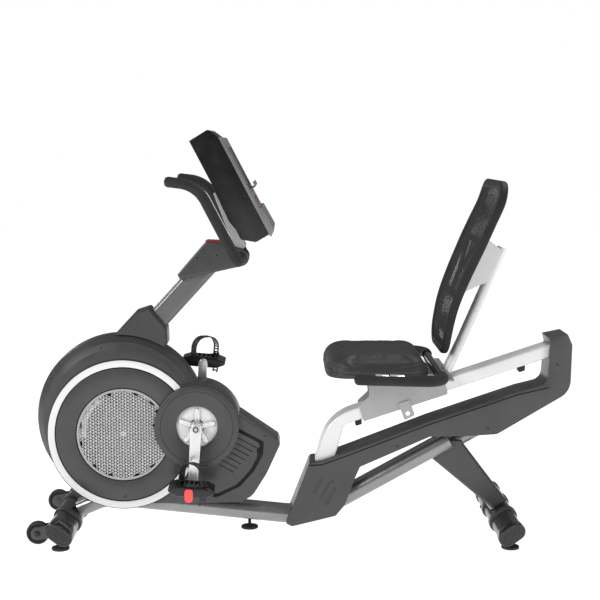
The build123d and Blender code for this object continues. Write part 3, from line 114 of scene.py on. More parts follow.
class FinishTree:
    """Writes the shader nodes of one finish."""

    SCALES = {Texture.GRAIN: 1400.0, Texture.BRUSHED: 300.0, Texture.LEATHER: 420.0, Texture.FOAM: 800.0,
              Texture.WEAVE: 500.0, Texture.CAST: 260.0, Texture.SMOOTH: 60.0}

    def __init__(self, finish: Finish) -> None:
        """Starts an empty tree.

        Args:
            finish: What to build.
        """
        self.finish = finish
        self.made = bpy.data.materials.new(f"look_{finish.name}")
        self.made.use_nodes = True
        self.tree = self.made.node_tree
        self.surface = self.tree.nodes["Principled BSDF"]

    def node(self, kind: str, **values: object) -> bpy.types.Node:
        """Adds a node and sets its properties."""
        added = self.tree.nodes.new(kind)
        for key, value in values.items():
            setattr(added, key, value)
        return added

    def link(self, source: bpy.types.NodeSocket, target: bpy.types.NodeSocket) -> None:
        """Joins two sockets."""
        self.tree.links.new(source, target)

    def noise(self, scale: float, detail: float, stretch: Vec3 = (1.0, 1.0, 1.0)) -> bpy.types.NodeSocket:
        """Noise on object coordinates.

        Args:
            scale: Noise scale per metre.
            detail: Octaves.
            stretch: Scale along each axis.

        Returns:
            The factor socket.
        """
        mapping = self.node("ShaderNodeMapping")
        mapping.inputs["Scale"].default_value = stretch
        self.link(self.where.outputs["Object"], mapping.inputs["Vector"])
        texture = self.node("ShaderNodeTexNoise")
        texture.inputs["Scale"].default_value = scale
        texture.inputs["Detail"].default_value = detail
        self.link(mapping.outputs["Vector"], texture.inputs["Vector"])
        return texture.outputs["Fac"]

    def spread(self, value: bpy.types.NodeSocket, low: float, high: float,
               from_low: float = 0.3, from_high: float = 0.7) -> bpy.types.NodeSocket:
        """Maps a factor to a range."""
        mapped = self.node("ShaderNodeMapRange")
        for name, number in (("From Min", from_low), ("From Max", from_high), ("To Min", low),
                             ("To Max", high)):
            mapped.inputs[name].default_value = number
        self.link(value, mapped.inputs["Value"])
        return mapped.outputs["Result"]

    def cells(self, scale: float, feature: str) -> bpy.types.NodeSocket:
        """Voronoi distance on object coordinates."""
        texture = self.node("ShaderNodeTexVoronoi", feature=feature)
        texture.inputs["Scale"].default_value = scale
        self.link(self.where.outputs["Object"], texture.inputs["Vector"])
        return texture.outputs["Distance"]

    def waves(self, scale: float, axis: str) -> bpy.types.NodeSocket:
        """Fine parallel threads."""
        texture = self.node("ShaderNodeTexWave", bands_direction=axis)
        texture.inputs["Scale"].default_value = scale
        texture.inputs["Distortion"].default_value = 0.4
        self.link(self.where.outputs["Object"], texture.inputs["Vector"])
        return texture.outputs["Fac"]

    def relief_height(self) -> bpy.types.NodeSocket:
        """Height field of the finish's texture."""
        kind = self.finish.texture
        scale = self.SCALES[kind]
        if kind in (Texture.LEATHER, Texture.FOAM):
            return self.cells(scale, "DISTANCE_TO_EDGE" if kind is Texture.LEATHER else "F1")
        if kind is Texture.WEAVE:
            both = self.node("ShaderNodeMath", operation="MULTIPLY")
            self.link(self.waves(scale, "Y"), both.inputs[0])
            self.link(self.waves(scale, "Z"), both.inputs[1])
            return both.outputs["Value"]
        stretch = (0.05, 1.0, 1.0) if kind is Texture.BRUSHED else (1.0, 1.0, 1.0)
        return self.noise(scale, 3.0, stretch)

    def build(self) -> bpy.types.Material:
        """Links colour, roughness, wear and relief to the shader.

        Returns:
            The finished material.
        """
        look = self.finish
        self.where = self.node("ShaderNodeTexCoord")
        tone = self.spread(self.noise(9.0, 4.0), 1.0 - look.mottle, 1.0 + look.mottle)
        shade = self.node("ShaderNodeVectorMath", operation="SCALE")
        shade.inputs[0].default_value = look.colour
        self.link(tone, shade.inputs["Scale"])
        rubbed = self.spread(self.noise(38.0, 8.0), 0.0, 1.0, 0.56, 0.74)
        worn = self.node("ShaderNodeMath", operation="MULTIPLY")
        worn.inputs[1].default_value = look.wear
        self.link(rubbed, worn.inputs[0])
        mix = self.node("ShaderNodeMix", data_type="RGBA")
        self.link(worn.outputs["Value"], mix.inputs["Factor"])
        self.link(shade.outputs["Vector"], mix.inputs["A"])
        lighter = tuple(min(1.0, channel * 1.35 + 0.02) for channel in look.colour)
        mix.inputs["B"].default_value = (*lighter, 1.0)
        self.link(mix.outputs["Result"], self.surface.inputs["Base Color"])
        patches = self.noise(24.0, 5.0)
        rough = self.spread(patches, max(0.02, look.roughness - 0.07), min(1.0, look.roughness + 0.07))
        self.link(rough, self.surface.inputs["Roughness"])
        bump = self.node("ShaderNodeBump")
        bump.inputs["Strength"].default_value = look.relief
        bump.inputs["Distance"].default_value = 0.0006
        height = self.relief_height()
        self.link(height, bump.inputs["Height"])
        if look.open_weave:
            thread = self.node("ShaderNodeMath", operation="LESS_THAN")
            thread.inputs[1].default_value = 0.42
            self.link(height, thread.inputs[0])
            self.link(thread.outputs["Value"], self.surface.inputs["Alpha"])
        self.link(bump.outputs["Normal"], self.surface.inputs["Normal"])
        self.surface.inputs["Metallic"].default_value = look.metallic
        self.surface.inputs["Coat Weight"].default_value = look.coat
        self.surface.inputs["Sheen Weight"].default_value = look.sheen
        self.surface.inputs["Emission Color"].default_value = (1.0, 1.0, 1.0, 1.0)
        self.surface.inputs["Emission Strength"].default_value = look.glow
        self.made.diffuse_color = (*look.colour, 1.0)
        return self.made


DARK_PLASTIC = Finish("dark_plastic", (0.050, 0.050, 0.051), 0.36, relief=0.12)
BLACK_PLASTIC = Finish("black_plastic", (0.006, 0.006, 0.0064), 0.30, relief=0.08)
MATT_BLACK = Finish("matt_black", (0.005, 0.005, 0.005), 0.70, relief=0.10, wear=0.05)
# Painted shade: near-black finish of the strips set into grooves and gaps, standing in for the shade that
# falls there.
PAINTED_SHADE_BLACK = Finish("gap_black", (0.002, 0.002, 0.002), 0.85, texture=Texture.SMOOTH, relief=0.05, wear=0.0)
SLEEVE_PLASTIC = Finish("sleeve_plastic", (0.012, 0.012, 0.013), 0.16, relief=0.03, coat=0.1)
WHITE_TRIM = Finish("white_trim", (0.76, 0.76, 0.76), 0.32, relief=0.05, mottle=0.02, wear=0.05)
GRILLE = Finish("grille", (0.80, 0.80, 0.81), 0.30, 0.55, Texture.CAST, 0.06)
FRAME_PAINT = Finish("frame_paint", (0.26, 0.26, 0.265), 0.26, 0.6, relief=0.03, coat=0.3)
PLATE_PAINT = Finish("plate_paint", (0.030, 0.030, 0.032), 0.26, 0.1, relief=0.08, coat=0.2)
BLACK_PAINT = Finish("black_paint", (0.018, 0.018, 0.019), 0.28, relief=0.05, coat=0.4)
MAST_PAINT = Finish("mast_paint", (0.12, 0.12, 0.124), 0.34, 0.35, relief=0.05, coat=0.3)
RAIL_METAL = Finish("rail", (0.78, 0.78, 0.78), 0.34, 0.2, Texture.SMOOTH, 0.0, 0.01, 0.0)
STEEL = Finish("steel", (0.52, 0.52, 0.53), 0.34, 1.0, Texture.BRUSHED, 0.10)
IRON = Finish("iron", (0.012, 0.012, 0.0125), 0.60, 0.3, Texture.CAST, 0.30)
CRANK_METAL = Finish("crank_metal", (0.74, 0.74, 0.75), 0.24, 0.6, Texture.BRUSHED, 0.03, 0.03, 0.04)
RUBBER = Finish("rubber", (0.020, 0.020, 0.020), 0.72, relief=0.25, wear=0.25)
STRAP = Finish("strap", (0.014, 0.014, 0.015), 0.50, relief=0.2)
FOAM = Finish("foam", (0.012, 0.012, 0.012), 0.80, texture=Texture.FOAM, relief=0.30, sheen=0.02, wear=0.05)
SILVER = Finish("console_silver", (0.24, 0.24, 0.245), 0.34, 0.45, relief=0.06)
RED = Finish("red_accent", (0.66, 0.018, 0.016), 0.34, relief=0.06, mottle=0.05)
LENS = Finish("lens", (0.90, 0.055, 0.045), 0.22, texture=Texture.SMOOTH, relief=0.05, coat=0.5)
SCREEN = Finish("screen", (0.008, 0.009, 0.011), 0.10, texture=Texture.SMOOTH, relief=0.01, coat=0.5,
                wear=0.02)
VINYL = Finish("seat_vinyl", (0.026, 0.026, 0.027), 0.58, texture=Texture.LEATHER, relief=0.14,
               mottle=0.10)
MESH = Finish("mesh", (0.010, 0.010, 0.0105), 0.80, texture=Texture.WEAVE, relief=0.4,
              open_weave=True)
SHEET_METAL = Finish("bracket_paint", (0.38, 0.38, 0.385), 0.46, 0.1, relief=0.02)


# ---- mesh making ------------------------------------------------------------------------------
class Shape:
    """Makes closed meshes in the row frame from millimetre sizes."""

    ARC_STEP = 6.0

    @staticmethod
    def corner(before: Vector, here: Vector, after: Vector, radius: float, step: float) -> list[Vector]:
        """Arc that rounds one corner of a route.

        Args:
            before: Point ahead of the corner.
            here: The corner.
            after: Point behind the corner.
            radius: Arc radius.
            step: Largest angle between two points, degrees.

        Returns:
            Points of the arc, or the corner itself.
        """
        one, two = (before - here).normalized(), (after - here).normalized()
        half = one.angle(two) / 2
        if radius <= 0 or half > math.radians(89.5):
            return [here]
        reach = radius / math.tan(half)
        centre = here + (one + two).normalized() * (radius / math.sin(half))
        start, stop = here + one * reach - centre, here + two * reach - centre
        turn = start.angle(stop)
        count = max(2, math.ceil(math.degrees(turn) / step))
        return [centre + (start * math.sin(turn * (1 - k / count)) + stop * math.sin(turn * k / count))
                / math.sin(turn) for k in range(count + 1)]

    @classmethod
    def rounded(cls, corners: Sequence[Corner], step: float = ARC_STEP) -> list[Vec2]:
        """Closed outline with its corners rounded."""
        spots = [Vector(c[:2]) for c in corners]
        points: list[Vec2] = []
        for index, here in enumerate(spots):
            after = spots[(index + 1) % len(spots)]
            points += [tuple(p) for p in cls.corner(spots[index - 1], here, after, corners[index][2], step)]
        return points

    @classmethod
    def route(cls, points: Sequence[Vec3], radii: Sequence[float], spacing: float = 12.0) -> list[Vector]:
        """Open route of straight runs joined by arcs, with points no further apart than the spacing."""
        spots = [Vector(p) for p in points]
        path = [spots[0]]
        for index, radius in enumerate(radii, start=1):
            path += cls.corner(spots[index - 1], spots[index], spots[index + 1], radius, cls.ARC_STEP)
        path.append(spots[-1])
        dense = [path[0]]
        for one, two in zip(path, path[1:]):
            count = max(1, math.ceil((two - one).length / spacing))
            dense += [one.lerp(two, k / count) for k in range(1, count + 1)]
        return dense

    @staticmethod
    def circle(x: float, z: float, radius: float, count: int = 64) -> list[Vec2]:
        """Round outline."""
        return [(x + radius * math.cos(math.tau * k / count), z + radius * math.sin(math.tau * k / count))
                for k in range(count)]

    @staticmethod
    def slot(start: Vec2, end: Vec2, width: float, count: int = 12) -> list[Vec2]:
        """Bar outline with round ends."""
        lean = math.atan2(end[1] - start[1], end[0] - start[0])
        points = []
        for (x, z), first in ((end, lean - math.pi / 2), (start, lean + math.pi / 2)):
            points += [(x + width / 2 * math.cos(first + math.pi * k / count),
                        z + width / 2 * math.sin(first + math.pi * k / count)) for k in range(count + 1)]
        return points

    @classmethod
    def hull(cls, *rounds: Corner, count: int = 96) -> list[Vec2]:
        """Outline stretched round circles given as (x, z, radius)."""
        cloud = sorted({p for x, z, r in rounds for p in cls.circle(x, z, r, count)})

        def half(points: Iterable[Vec2]) -> list[Vec2]:
            """One side of the outline."""
            chain: list[Vec2] = []
            for p in points:
                while len(chain) > 1 and ((chain[-1][0] - chain[-2][0]) * (p[1] - chain[-2][1])
                                          - (chain[-1][1] - chain[-2][1]) * (p[0] - chain[-2][0])) <= 1e-9:
                    chain.pop()
                chain.append(p)
            return chain[:-1]

        return half(cloud) + half(reversed(cloud))

    @staticmethod
    def from_bmesh(name: str, mesh: bmesh.types.BMesh) -> bpy.types.Object:
        """Turns a bmesh into a linked object with outward normals."""
        bmesh.ops.recalc_face_normals(mesh, faces=mesh.faces)
        data = bpy.data.meshes.new(name)
        mesh.to_mesh(data)
        mesh.free()
        made = bpy.data.objects.new(name, data)
        bpy.context.scene.collection.objects.link(made)
        return made

    @classmethod
    def prism(cls, name: str, outline: Sequence[Vec2], low: float, high: float, bevel: float = 0.0,
              segments: int = 3, both: bool = True) -> bpy.types.Object:
        """Closed solid between two crosswise planes.

        Args:
            name: Object name.
            outline: X-Z points.
            low: Crosswise plane on the rider's left.
            high: The other plane.
            bevel: Width of the rounded rim, or 0.
            segments: Steps of the rounding; 1 gives a flat chamfer.
            both: Rounds both rims rather than only the low one.

        Returns:
            The solid.
        """
        mesh = bmesh.new()
        base = mesh.faces.new([mesh.verts.new((x * MM, low * MM, z * MM)) for x, z in outline])
        grown = bmesh.ops.extrude_face_region(mesh, geom=[base])["geom"]
        moved = [item for item in grown if isinstance(item, bmesh.types.BMVert)]
        bmesh.ops.translate(mesh, verts=moved, vec=(0, (high - low) * MM, 0))
        if bevel:
            planes = (low * MM, high * MM) if both else (low * MM,)
            rims = [e for e in mesh.edges
                    if any(all(abs(v.co.y - plane) < 1e-7 for v in e.verts) for plane in planes)]
            bmesh.ops.bevel(mesh, geom=rims, offset=bevel * MM, segments=segments, profile=0.5,
                            affect="EDGES", clamp_overlap=True)
        return cls.from_bmesh(name, mesh)

    @classmethod
    def lathe(cls, name: str, centre: Vec2, profile: Sequence[Vec2], steps: int = 96) -> bpy.types.Object:
        """Closed solid turned about a crosswise axis.

        Args:
            name: Object name.
            centre: X-Z place of the axis.
            profile: (radius, y) points. A radius of 0 at both ends closes on the axis, and otherwise
                the last point joins the first.
            steps: Points round the axis.

        Returns:
            The solid.
        """
        mesh = bmesh.new()
        rows = []
        for radius, y in profile:
            if radius < 1e-6:
                rows.append([mesh.verts.new((centre[0] * MM, y * MM, centre[1] * MM))])
                continue
            rows.append([mesh.verts.new(((centre[0] + radius * math.cos(math.tau * k / steps)) * MM, y * MM,
                                         (centre[1] + radius * math.sin(math.tau * k / steps)) * MM))
                         for k in range(steps)])
        pairs = list(zip(rows, rows[1:]))
        if profile[0][0] > 1e-6:
            pairs.append((rows[-1], rows[0]))
        for one, two in pairs:
            for k in range(steps):
                after = (k + 1) % steps
                loop = [one[k % len(one)], one[after % len(one)], two[after % len(two)], two[k % len(two)]]
                mesh.faces.new(list(dict.fromkeys(loop)))
        return cls.from_bmesh(name, mesh)

    @classmethod
    def sweep(cls, name: str, path: Sequence[Vector], section: Sequence[Vec2], closed: bool = False,
              side: Callable[[int], Vector] | None = None,
              grow: Callable[[float], float] | None = None) -> bpy.types.Object:
        """Section carried along a route.

        Args:
            name: Object name.
            path: Route points.
            section: Section points across and up.
            closed: The route is a loop.
            side: Gives the across direction at a route point; by default it is carried along.
            grow: Gives the section's scale at a distance from the start, in millimetres.

        Returns:
            The solid.
        """
        mesh = bmesh.new()
        count = len(path)
        length = [0.0]
        for one, two in zip(path, path[1:]):
            length.append(length[-1] + (two - one).length)
        across = None
        rows = []
        for index, spot in enumerate(path):
            ahead = path[(index + 1) % count] if closed or index < count - 1 else spot
            behind = path[index - 1] if closed or index else spot
            along = (ahead - behind).normalized()
            if side:
                across = side(index)
            elif across is None:
                across = along.cross(Vector((0, 0, 1))) if abs(along.z) < 0.9 else along.cross(Vector((0,
                                                                                                       1, 0)))
            across = (across - along * across.dot(along)).normalized()
            up = across.cross(along)
            scale = grow(length[index]) if grow else 1.0
            rows.append([mesh.verts.new((spot + (across * u + up * v) * scale) * MM) for u, v in section])
        pairs = list(zip(rows, rows[1:])) + ([(rows[-1], rows[0])] if closed else [])
        size = len(section)
        for one, two in pairs:
            for k in range(size):
                mesh.faces.new((one[k], one[(k + 1) % size], two[(k + 1) % size], two[k]))
        if not closed:
            mesh.faces.new(rows[0])
            mesh.faces.new(rows[-1])
        return cls.from_bmesh(name, mesh)

    @staticmethod
    def settle(made: bpy.types.Object) -> bpy.types.Object:
        """Bakes an object's modifiers into its mesh."""
        bpy.context.view_layer.update()
        graph = bpy.context.evaluated_depsgraph_get()
        data = bpy.data.meshes.new_from_object(made.evaluated_get(graph))
        made.modifiers.clear()
        made.data = data
        return made

    @classmethod
    def combine(cls, made: bpy.types.Object, others: Iterable[bpy.types.Object],
                operation: str = "DIFFERENCE", keep: bool = False) -> bpy.types.Object:
        """Exact boolean of one solid with others.

        Args:
            made: The solid that changes.
            others: Solids that are used up.
            operation: UNION, DIFFERENCE or INTERSECT.
            keep: Leaves the others in the scene.

        Returns:
            The changed solid.
        """
        for other in others:
            modifier = made.modifiers.new("combine", "BOOLEAN")
            modifier.operation, modifier.object, modifier.solver = operation, other, "EXACT"
            cls.settle(made)
            if not keep:
                bpy.data.objects.remove(other)
        return made

    @classmethod
    def mirror(cls, made: bpy.types.Object, name: str) -> bpy.types.Object:
        """The same piece on the machine's other side."""
        mesh = bmesh.new()
        mesh.from_mesh(made.data)
        bmesh.ops.scale(mesh, vec=(1, -1, 1), verts=mesh.verts)
        bmesh.ops.reverse_faces(mesh, faces=mesh.faces)
        copy = cls.from_bmesh(name, mesh)
        for material in made.data.materials:
            copy.data.materials.append(material)
        return copy

    @staticmethod
    def turn(made: bpy.types.Object, centre: Vec3, angles: Vec3) -> bpy.types.Object:
        """Turns a mesh about a point, by Euler angles in degrees."""
        middle = Vector(centre) * MM
        spin = Euler([math.radians(a) for a in angles]).to_matrix().to_4x4()
        made.data.transform(Matrix.Translation(middle) @ spin @ Matrix.Translation(-middle))
        return made

    @staticmethod
    def join(name: str, made: Sequence[bpy.types.Object]) -> bpy.types.Object:
        """Puts several solids into one object, with their materials."""
        mesh = bmesh.new()
        slots: list[bpy.types.Material] = []
        for one in made:
            first = len(mesh.faces)
            mesh.from_mesh(one.data)
            mesh.faces.ensure_lookup_table()
            owned = list(one.data.materials)
            for face in mesh.faces[first:]:
                if owned:
                    material = owned[min(face.material_index, len(owned) - 1)]
                    if material not in slots:
                        slots.append(material)
                    face.material_index = slots.index(material)
            bpy.data.objects.remove(one)
        joined = Shape.from_bmesh(name, mesh)
        for material in slots:
            joined.data.materials.append(material)
        return joined

    @staticmethod
    def smooth(made: bpy.types.Object, angle: float = 32.0) -> bpy.types.Object:
        """Smooth shading with sharp creases."""
        for face in made.data.polygons:
            face.use_smooth = True
        made.data.set_sharp_from_angle(angle=math.radians(angle))
        return made


class Pattern:
    """Geometry Nodes tree that repeats one piece at a set of points."""

    def __init__(self) -> None:
        """Builds the tree once."""
        self.tree = bpy.data.node_groups.new("Repeat", "GeometryNodeTree")
        face = self.tree.interface
        face.new_socket("Points", in_out="INPUT", socket_type="NodeSocketGeometry")
        self.inputs = {name: face.new_socket(name, in_out="INPUT", socket_type=kind).identifier
                       for name, kind in (("Piece", "NodeSocketObject"), ("Size", "NodeSocketFloat"),
                                          ("Weld", "NodeSocketFloat"), ("Finish", "NodeSocketMaterial"))}
        face.new_socket("Solid", in_out="OUTPUT", socket_type="NodeSocketGeometry")
        nodes, links = self.tree.nodes, self.tree.links
        source, result = nodes.new("NodeGroupInput"), nodes.new("NodeGroupOutput")
        turn = nodes.new("GeometryNodeInputNamedAttribute")
        turn.data_type = "FLOAT_VECTOR"
        turn.inputs["Name"].default_value = "turn"
        spin = nodes.new("FunctionNodeEulerToRotation")
        piece, place = nodes.new("GeometryNodeObjectInfo"), nodes.new("GeometryNodeInstanceOnPoints")
        real, weld = nodes.new("GeometryNodeRealizeInstances"), nodes.new("GeometryNodeMergeByDistance")
        paint = nodes.new("GeometryNodeSetMaterial")
        for one, two in ((source.outputs["Points"], place.inputs["Points"]),
                         (source.outputs["Piece"], piece.inputs["Object"]),
                         (piece.outputs["Geometry"], place.inputs["Instance"]),
                         (turn.outputs["Attribute"], spin.inputs["Euler"]),
                         (spin.outputs["Rotation"], place.inputs["Rotation"]),
                         (source.outputs["Size"], place.inputs["Scale"]),
                         (place.outputs["Instances"], real.inputs["Geometry"]),
                         (real.outputs["Geometry"], weld.inputs["Geometry"]),
                         (source.outputs["Weld"], weld.inputs["Distance"]),
                         (weld.outputs["Geometry"], paint.inputs["Geometry"]),
                         (source.outputs["Finish"], paint.inputs["Material"]),
                         (paint.outputs["Geometry"], result.inputs["Solid"])):
            links.new(one, two)

    def repeat(self, name: str, piece: bpy.types.Object, points: Sequence[Vec3], finish: Finish,
               turns: Sequence[Vec3] | None = None, weld: float = 0.0, size: float = 1.0) -> bpy.types.Object:
        """Repeats a piece and uses it up.

        Args:
            name: Object name.
            piece: Solid at the origin.
            points: Places, in millimetres.
            finish: Material of every copy.
            turns: Euler angles of each copy in degrees.
            weld: Merge distance, in millimetres.
            size: Scale of every copy.

        Returns:
            One real mesh.
        """
        data = bpy.data.meshes.new(name)
        data.from_pydata([[c * MM for c in p] for p in points], [], [])
        attribute = data.attributes.new("turn", "FLOAT_VECTOR", "POINT")
        for index, angles in enumerate(turns or [(0.0, 0.0, 0.0)] * len(points)):
            attribute.data[index].vector = [math.radians(a) for a in angles]
        made = bpy.data.objects.new(name, data)
        bpy.context.scene.collection.objects.link(made)
        modifier = made.modifiers.new("Repeat", "NODES")
        modifier.node_group = self.tree
        values = {"Piece": piece, "Size": size, "Weld": weld * MM, "Finish": finish.material()}
        for key, value in values.items():
            modifier[self.inputs[key]] = value
        Shape.settle(made)
        bpy.data.objects.remove(piece)
        return made


PATTERN = Pattern()


def place(made: bpy.types.Object, body: str, slot: str, finish: Finish | None = None, *nodes: str,
          angle: float = 32.0) -> bpy.types.Object:
    """Gives a piece its finish, its body and the CAD nodes that it stands for.

    Args:
        made: The piece.
        body: CAD body it rides on.
        slot: Material slot of the record; not used.
        finish: Its material, or None when it already has some.
        nodes: CAD nodes it replaces.
        angle: Crease angle for its shading.

    Returns:
        The piece.
    """
    if finish:
        made.data.materials.clear()
        made.data.materials.append(finish.material())
    Shape.smooth(made, angle)
    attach(made, body)
    if nodes:
        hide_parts(*nodes)
    LOG.info("%s: %d faces on %s", made.name, len(made.data.polygons), body)
    return made


def along(spot: Vec2, angle: float, distance: float) -> Vec2:
    """Point at a distance and an angle in degrees from another in the X-Z plane."""
    return (spot[0] + distance * math.cos(math.radians(angle)),
            spot[1] + distance * math.sin(math.radians(angle)))


def both_sides(made: bpy.types.Object, body: str, slot: str, finish: Finish | None, left: Sequence[str],
               right: Sequence[str] = (), angle: float = 32.0, far_body: str = "") -> None:
    """Places a left piece and its mirrored twin."""
    twin = Shape.mirror(made, made.name.replace("left", "right"))
    if made.name == twin.name or "left" not in made.name:
        twin.name = made.name + "_right"
    place(made, body, slot, finish, *left, angle=angle)
    place(twin, far_body or body, slot, finish, *right, angle=angle)


# ---- drive housing ----------------------------------------------------------------------------
@dataclass
class DriveHousing:
    """Round drive housing, its rear body and the covers on its faces."""

    middle: Vec2 = (-554.0, 358.0)
    radius: float = 257.0
    band_half: float = 40.0
    band_slant: float = 38.0
    flywheel: Vec2 = (-546.0, 310.0)
    crank: Vec2 = (-321.0, 335.0)
    ring_outer: float = 232.0
    ring_inner: float = 207.0
    grille_radius: float = 142.0
    grille_pitch: float = 16.5
    lobe_radius: float = 134.0
    shroud_radius: float = 129.0
    shroud_depth: float = 14.0
    recess_radius: float = 64.0
    face: float = 60.0
    inset: float = 56.0
    proud: float = 63.0
    wall: float = 3.0
    louvres: int = 7

    def rear_body(self, shrink: float) -> list[Vec2]:
        """Outline of the housing behind the crank, drawn in by a margin."""
        x, z = self.crank
        s = shrink
        corners = [(self.flywheel[0] + 90, 92 + s, 0), (x + 130 - s, 95 + s, 0), (x + 168 - s, 114 + s, 60),
                   (x + 213 - s, z - 149, 120), (x + 254 - s, z - 59, 10), (x + 248 - s, z - 42 - s, 12),
                   (x + 126 - s, z + 41 - s, 40), (x - 60, z + 60, 0)]
        return Shape.rounded(corners)

    def solid(self, shrink: float) -> bpy.types.Object:
        """Left half of the housing as one solid, drawn in by a wall."""
        s = shrink
        full, inset, wide = self.radius - s, self.inset - s, self.face - s
        top = 5.0 if s else -0.2
        crown = [(0.0, -inset), (full - self.band_slant - 3, -inset), (full - self.band_slant, -inset + 1.2),
                 (full - self.band_slant * 0.55, -inset + 5.2), (full - 9, -self.band_half + s * 0.5),
                 (full - 3, -self.band_half + 6), (full, -self.band_half + 14), (full, top), (0.0, top)]
        made = Shape.lathe("housing_left", self.middle, crown, 160)
        seat = Shape.lathe("seat", self.flywheel, [(0.0, -wide), (self.ring_outer - s - 1, -wide),
                                                   (self.ring_outer - s, -wide + 1),
                                                   (self.ring_outer - s, top),
                                                   (0.0, top)], 160)
        lobe = self.lobe_radius - s
        hump = Shape.lathe("lobe", self.crank, [(0.0, -wide), (lobe - 7, -wide), (lobe - 2, -wide + 2),
                                                (lobe, -wide + 8), (lobe, top), (0.0, top)], 128)
        rear = Shape.prism("rear", self.rear_body(s), -inset, top, 0 if s else 6.0, 4, both=False)
        return Shape.combine(made, [seat, hump, rear], "UNION")

    def panel(self, floor: float = 0.0) -> list[bpy.types.Object]:
        """Inset groove and louvre lines on the rear body.

        Args:
            floor: Thickness of the black painted-shade strips in their floors; nothing gives the cutters.

        Returns:
            The cutters, or the painted-shade strips.
        """
        def low(depth: float) -> float:
            """Outer face of a cutter, or of a strip at the bottom of its groove."""
            return -self.inset + (depth - floor if floor else -5.0)

        outer = Shape.rounded([(-200, 331, 0), (-117, 286, 6), (-120, 245, 30), (-146, 196, 60),
                               (-190, 146, 60), (-262, 112, 20), (-300, 118, 0), (-300, 250, 0)])
        inner = Shape.rounded([(-200, 319, 0), (-133, 283, 5), (-129, 270, 4), (-139, 262, 3),
                               (-137, 240, 20),
                               (-158, 199, 60), (-199, 153, 60), (-260, 124, 20), (-300, 130, 0),
                               (-300, 250, 0)])
        groove = Shape.prism("groove", outer, low(2.6), -self.inset + 2.6)
        island = Shape.prism("island", inner, -self.inset - 6, -self.inset + 3.5)
        cutters = [Shape.combine(groove, [island])]
        for k in range(self.louvres):
            start = (-196.0 - 9.5 * k, 298.0 - 14.0 * k)
            line = Shape.slot(start, along(start, -28.5, 66 - 3.0 * k), 2.8, 4)
            cutters.append(Shape.prism("louvre", line, low(2.4), -self.inset + 2.4))
        return cutters

    def build(self) -> None:
        """Makes the shells, ring, annulus, grille and shroud on both sides."""
        shell = self.solid(0.0)
        Shape.combine(shell, [self.solid(self.wall)])
        opening = Shape.lathe("opening", self.flywheel, [(0, -90), (self.grille_radius + 3, -90),
                                                         (self.grille_radius + 3, -45), (0, -45)])
        hub = Shape.lathe("hub", self.crank, [(0, -90), (24, -90), (24, -40), (0, -40)], 48)
        path = Shape.route([(-700, 0, 62), (-600, 0, 105), (20, 0, 40)], [150])
        tube = Shape.sweep("tube", path, [(44.3 * math.copysign(abs(math.cos(a)) ** 0.75, math.cos(a)),
                                           24.3 * math.copysign(abs(math.sin(a)) ** 0.75, math.sin(a)))
                                          for a in (math.tau * k / 40 for k in range(40))])
        foot = Shape.prism("mast_hole", Shape.rounded([(-528, 520, 4), (-400, 655, 4), (-451, 690, 4),
                                                       (-590, 545, 4)]), -33.5, 5)
        Shape.combine(shell, [opening, hub, tube, foot, *self.panel()])
        both_sides(shell, "frame", "dark_plastic", DARK_PLASTIC, ["drive_housing_left"],
                   ["drive_housing_right"], angle=24)
        self.covers()
        self.shroud()
        self.grille()

    def flat_ring(self, name: str, outer: float, inner: float, soft: float) -> bpy.types.Object:
        """Ring with rounded edges, cut away where the shroud sits."""
        low, high = -self.proud, -self.face + 0.02
        profile = [(outer, high), (outer, low + soft), (outer - soft * 0.3, low + soft * 0.3),
                   (outer - soft, low),
                   (inner + soft, low), (inner + soft * 0.3, low + soft * 0.3), (inner, low + soft),
                   (inner, high)]
        ring = Shape.lathe(name, self.flywheel, profile, 192)
        return Shape.combine(ring, [self.bite(0.8, 192)])

    def bite(self, clearance: float, steps: int = 160) -> bpy.types.Object:
        """Cutter round the crank shroud.

        Args:
            clearance: Room past the shroud's radius.
            steps: Sides of the cutter.

        Returns:
            The cutter.
        """
        clear = self.shroud_radius + clearance
        return Shape.lathe("bite", self.crank, [(0, -90), (clear, -90), (clear, -40), (0, -40)], steps)

    def paint_groove_shade(self) -> None:
        """Painted shade: black strips in the floors of the grooves and between the covers, where the shade
        falls.
        """
        strips = self.panel(1.0)
        for outer, inner in ((self.ring_outer - 0.6, self.ring_outer - 2.8),
                             (self.ring_inner + 1.8, self.ring_inner - 2.2),
                             (self.grille_radius + 3.0, self.grille_radius - 0.3)):
            low, high = -self.face - 0.8, -self.face + 0.02
            ring = Shape.lathe("gap", self.flywheel,
                               [(outer, high), (outer, low), (inner, low), (inner, high)], 160)
            strips.append(Shape.combine(ring, [self.bite(0.8)]))
        both_sides(Shape.join("gap_strips_left", strips), "frame", "black_plastic", PAINTED_SHADE_BLACK, [])

    def covers(self) -> None:
        """White ring and dark annulus."""
        self.paint_groove_shade()
        ring = self.flat_ring("ring_left", self.ring_outer - 2.6, self.ring_inner + 1.6, 1.4)
        both_sides(ring, "frame", "white_trim", WHITE_TRIM, ["ring_trims"])
        cover = self.flat_ring("side_cover_left", self.ring_inner - 2.0, self.grille_radius + 2.8, 1.2)
        both_sides(cover, "frame", "dark_plastic", DARK_PLASTIC, ["side_covers"])

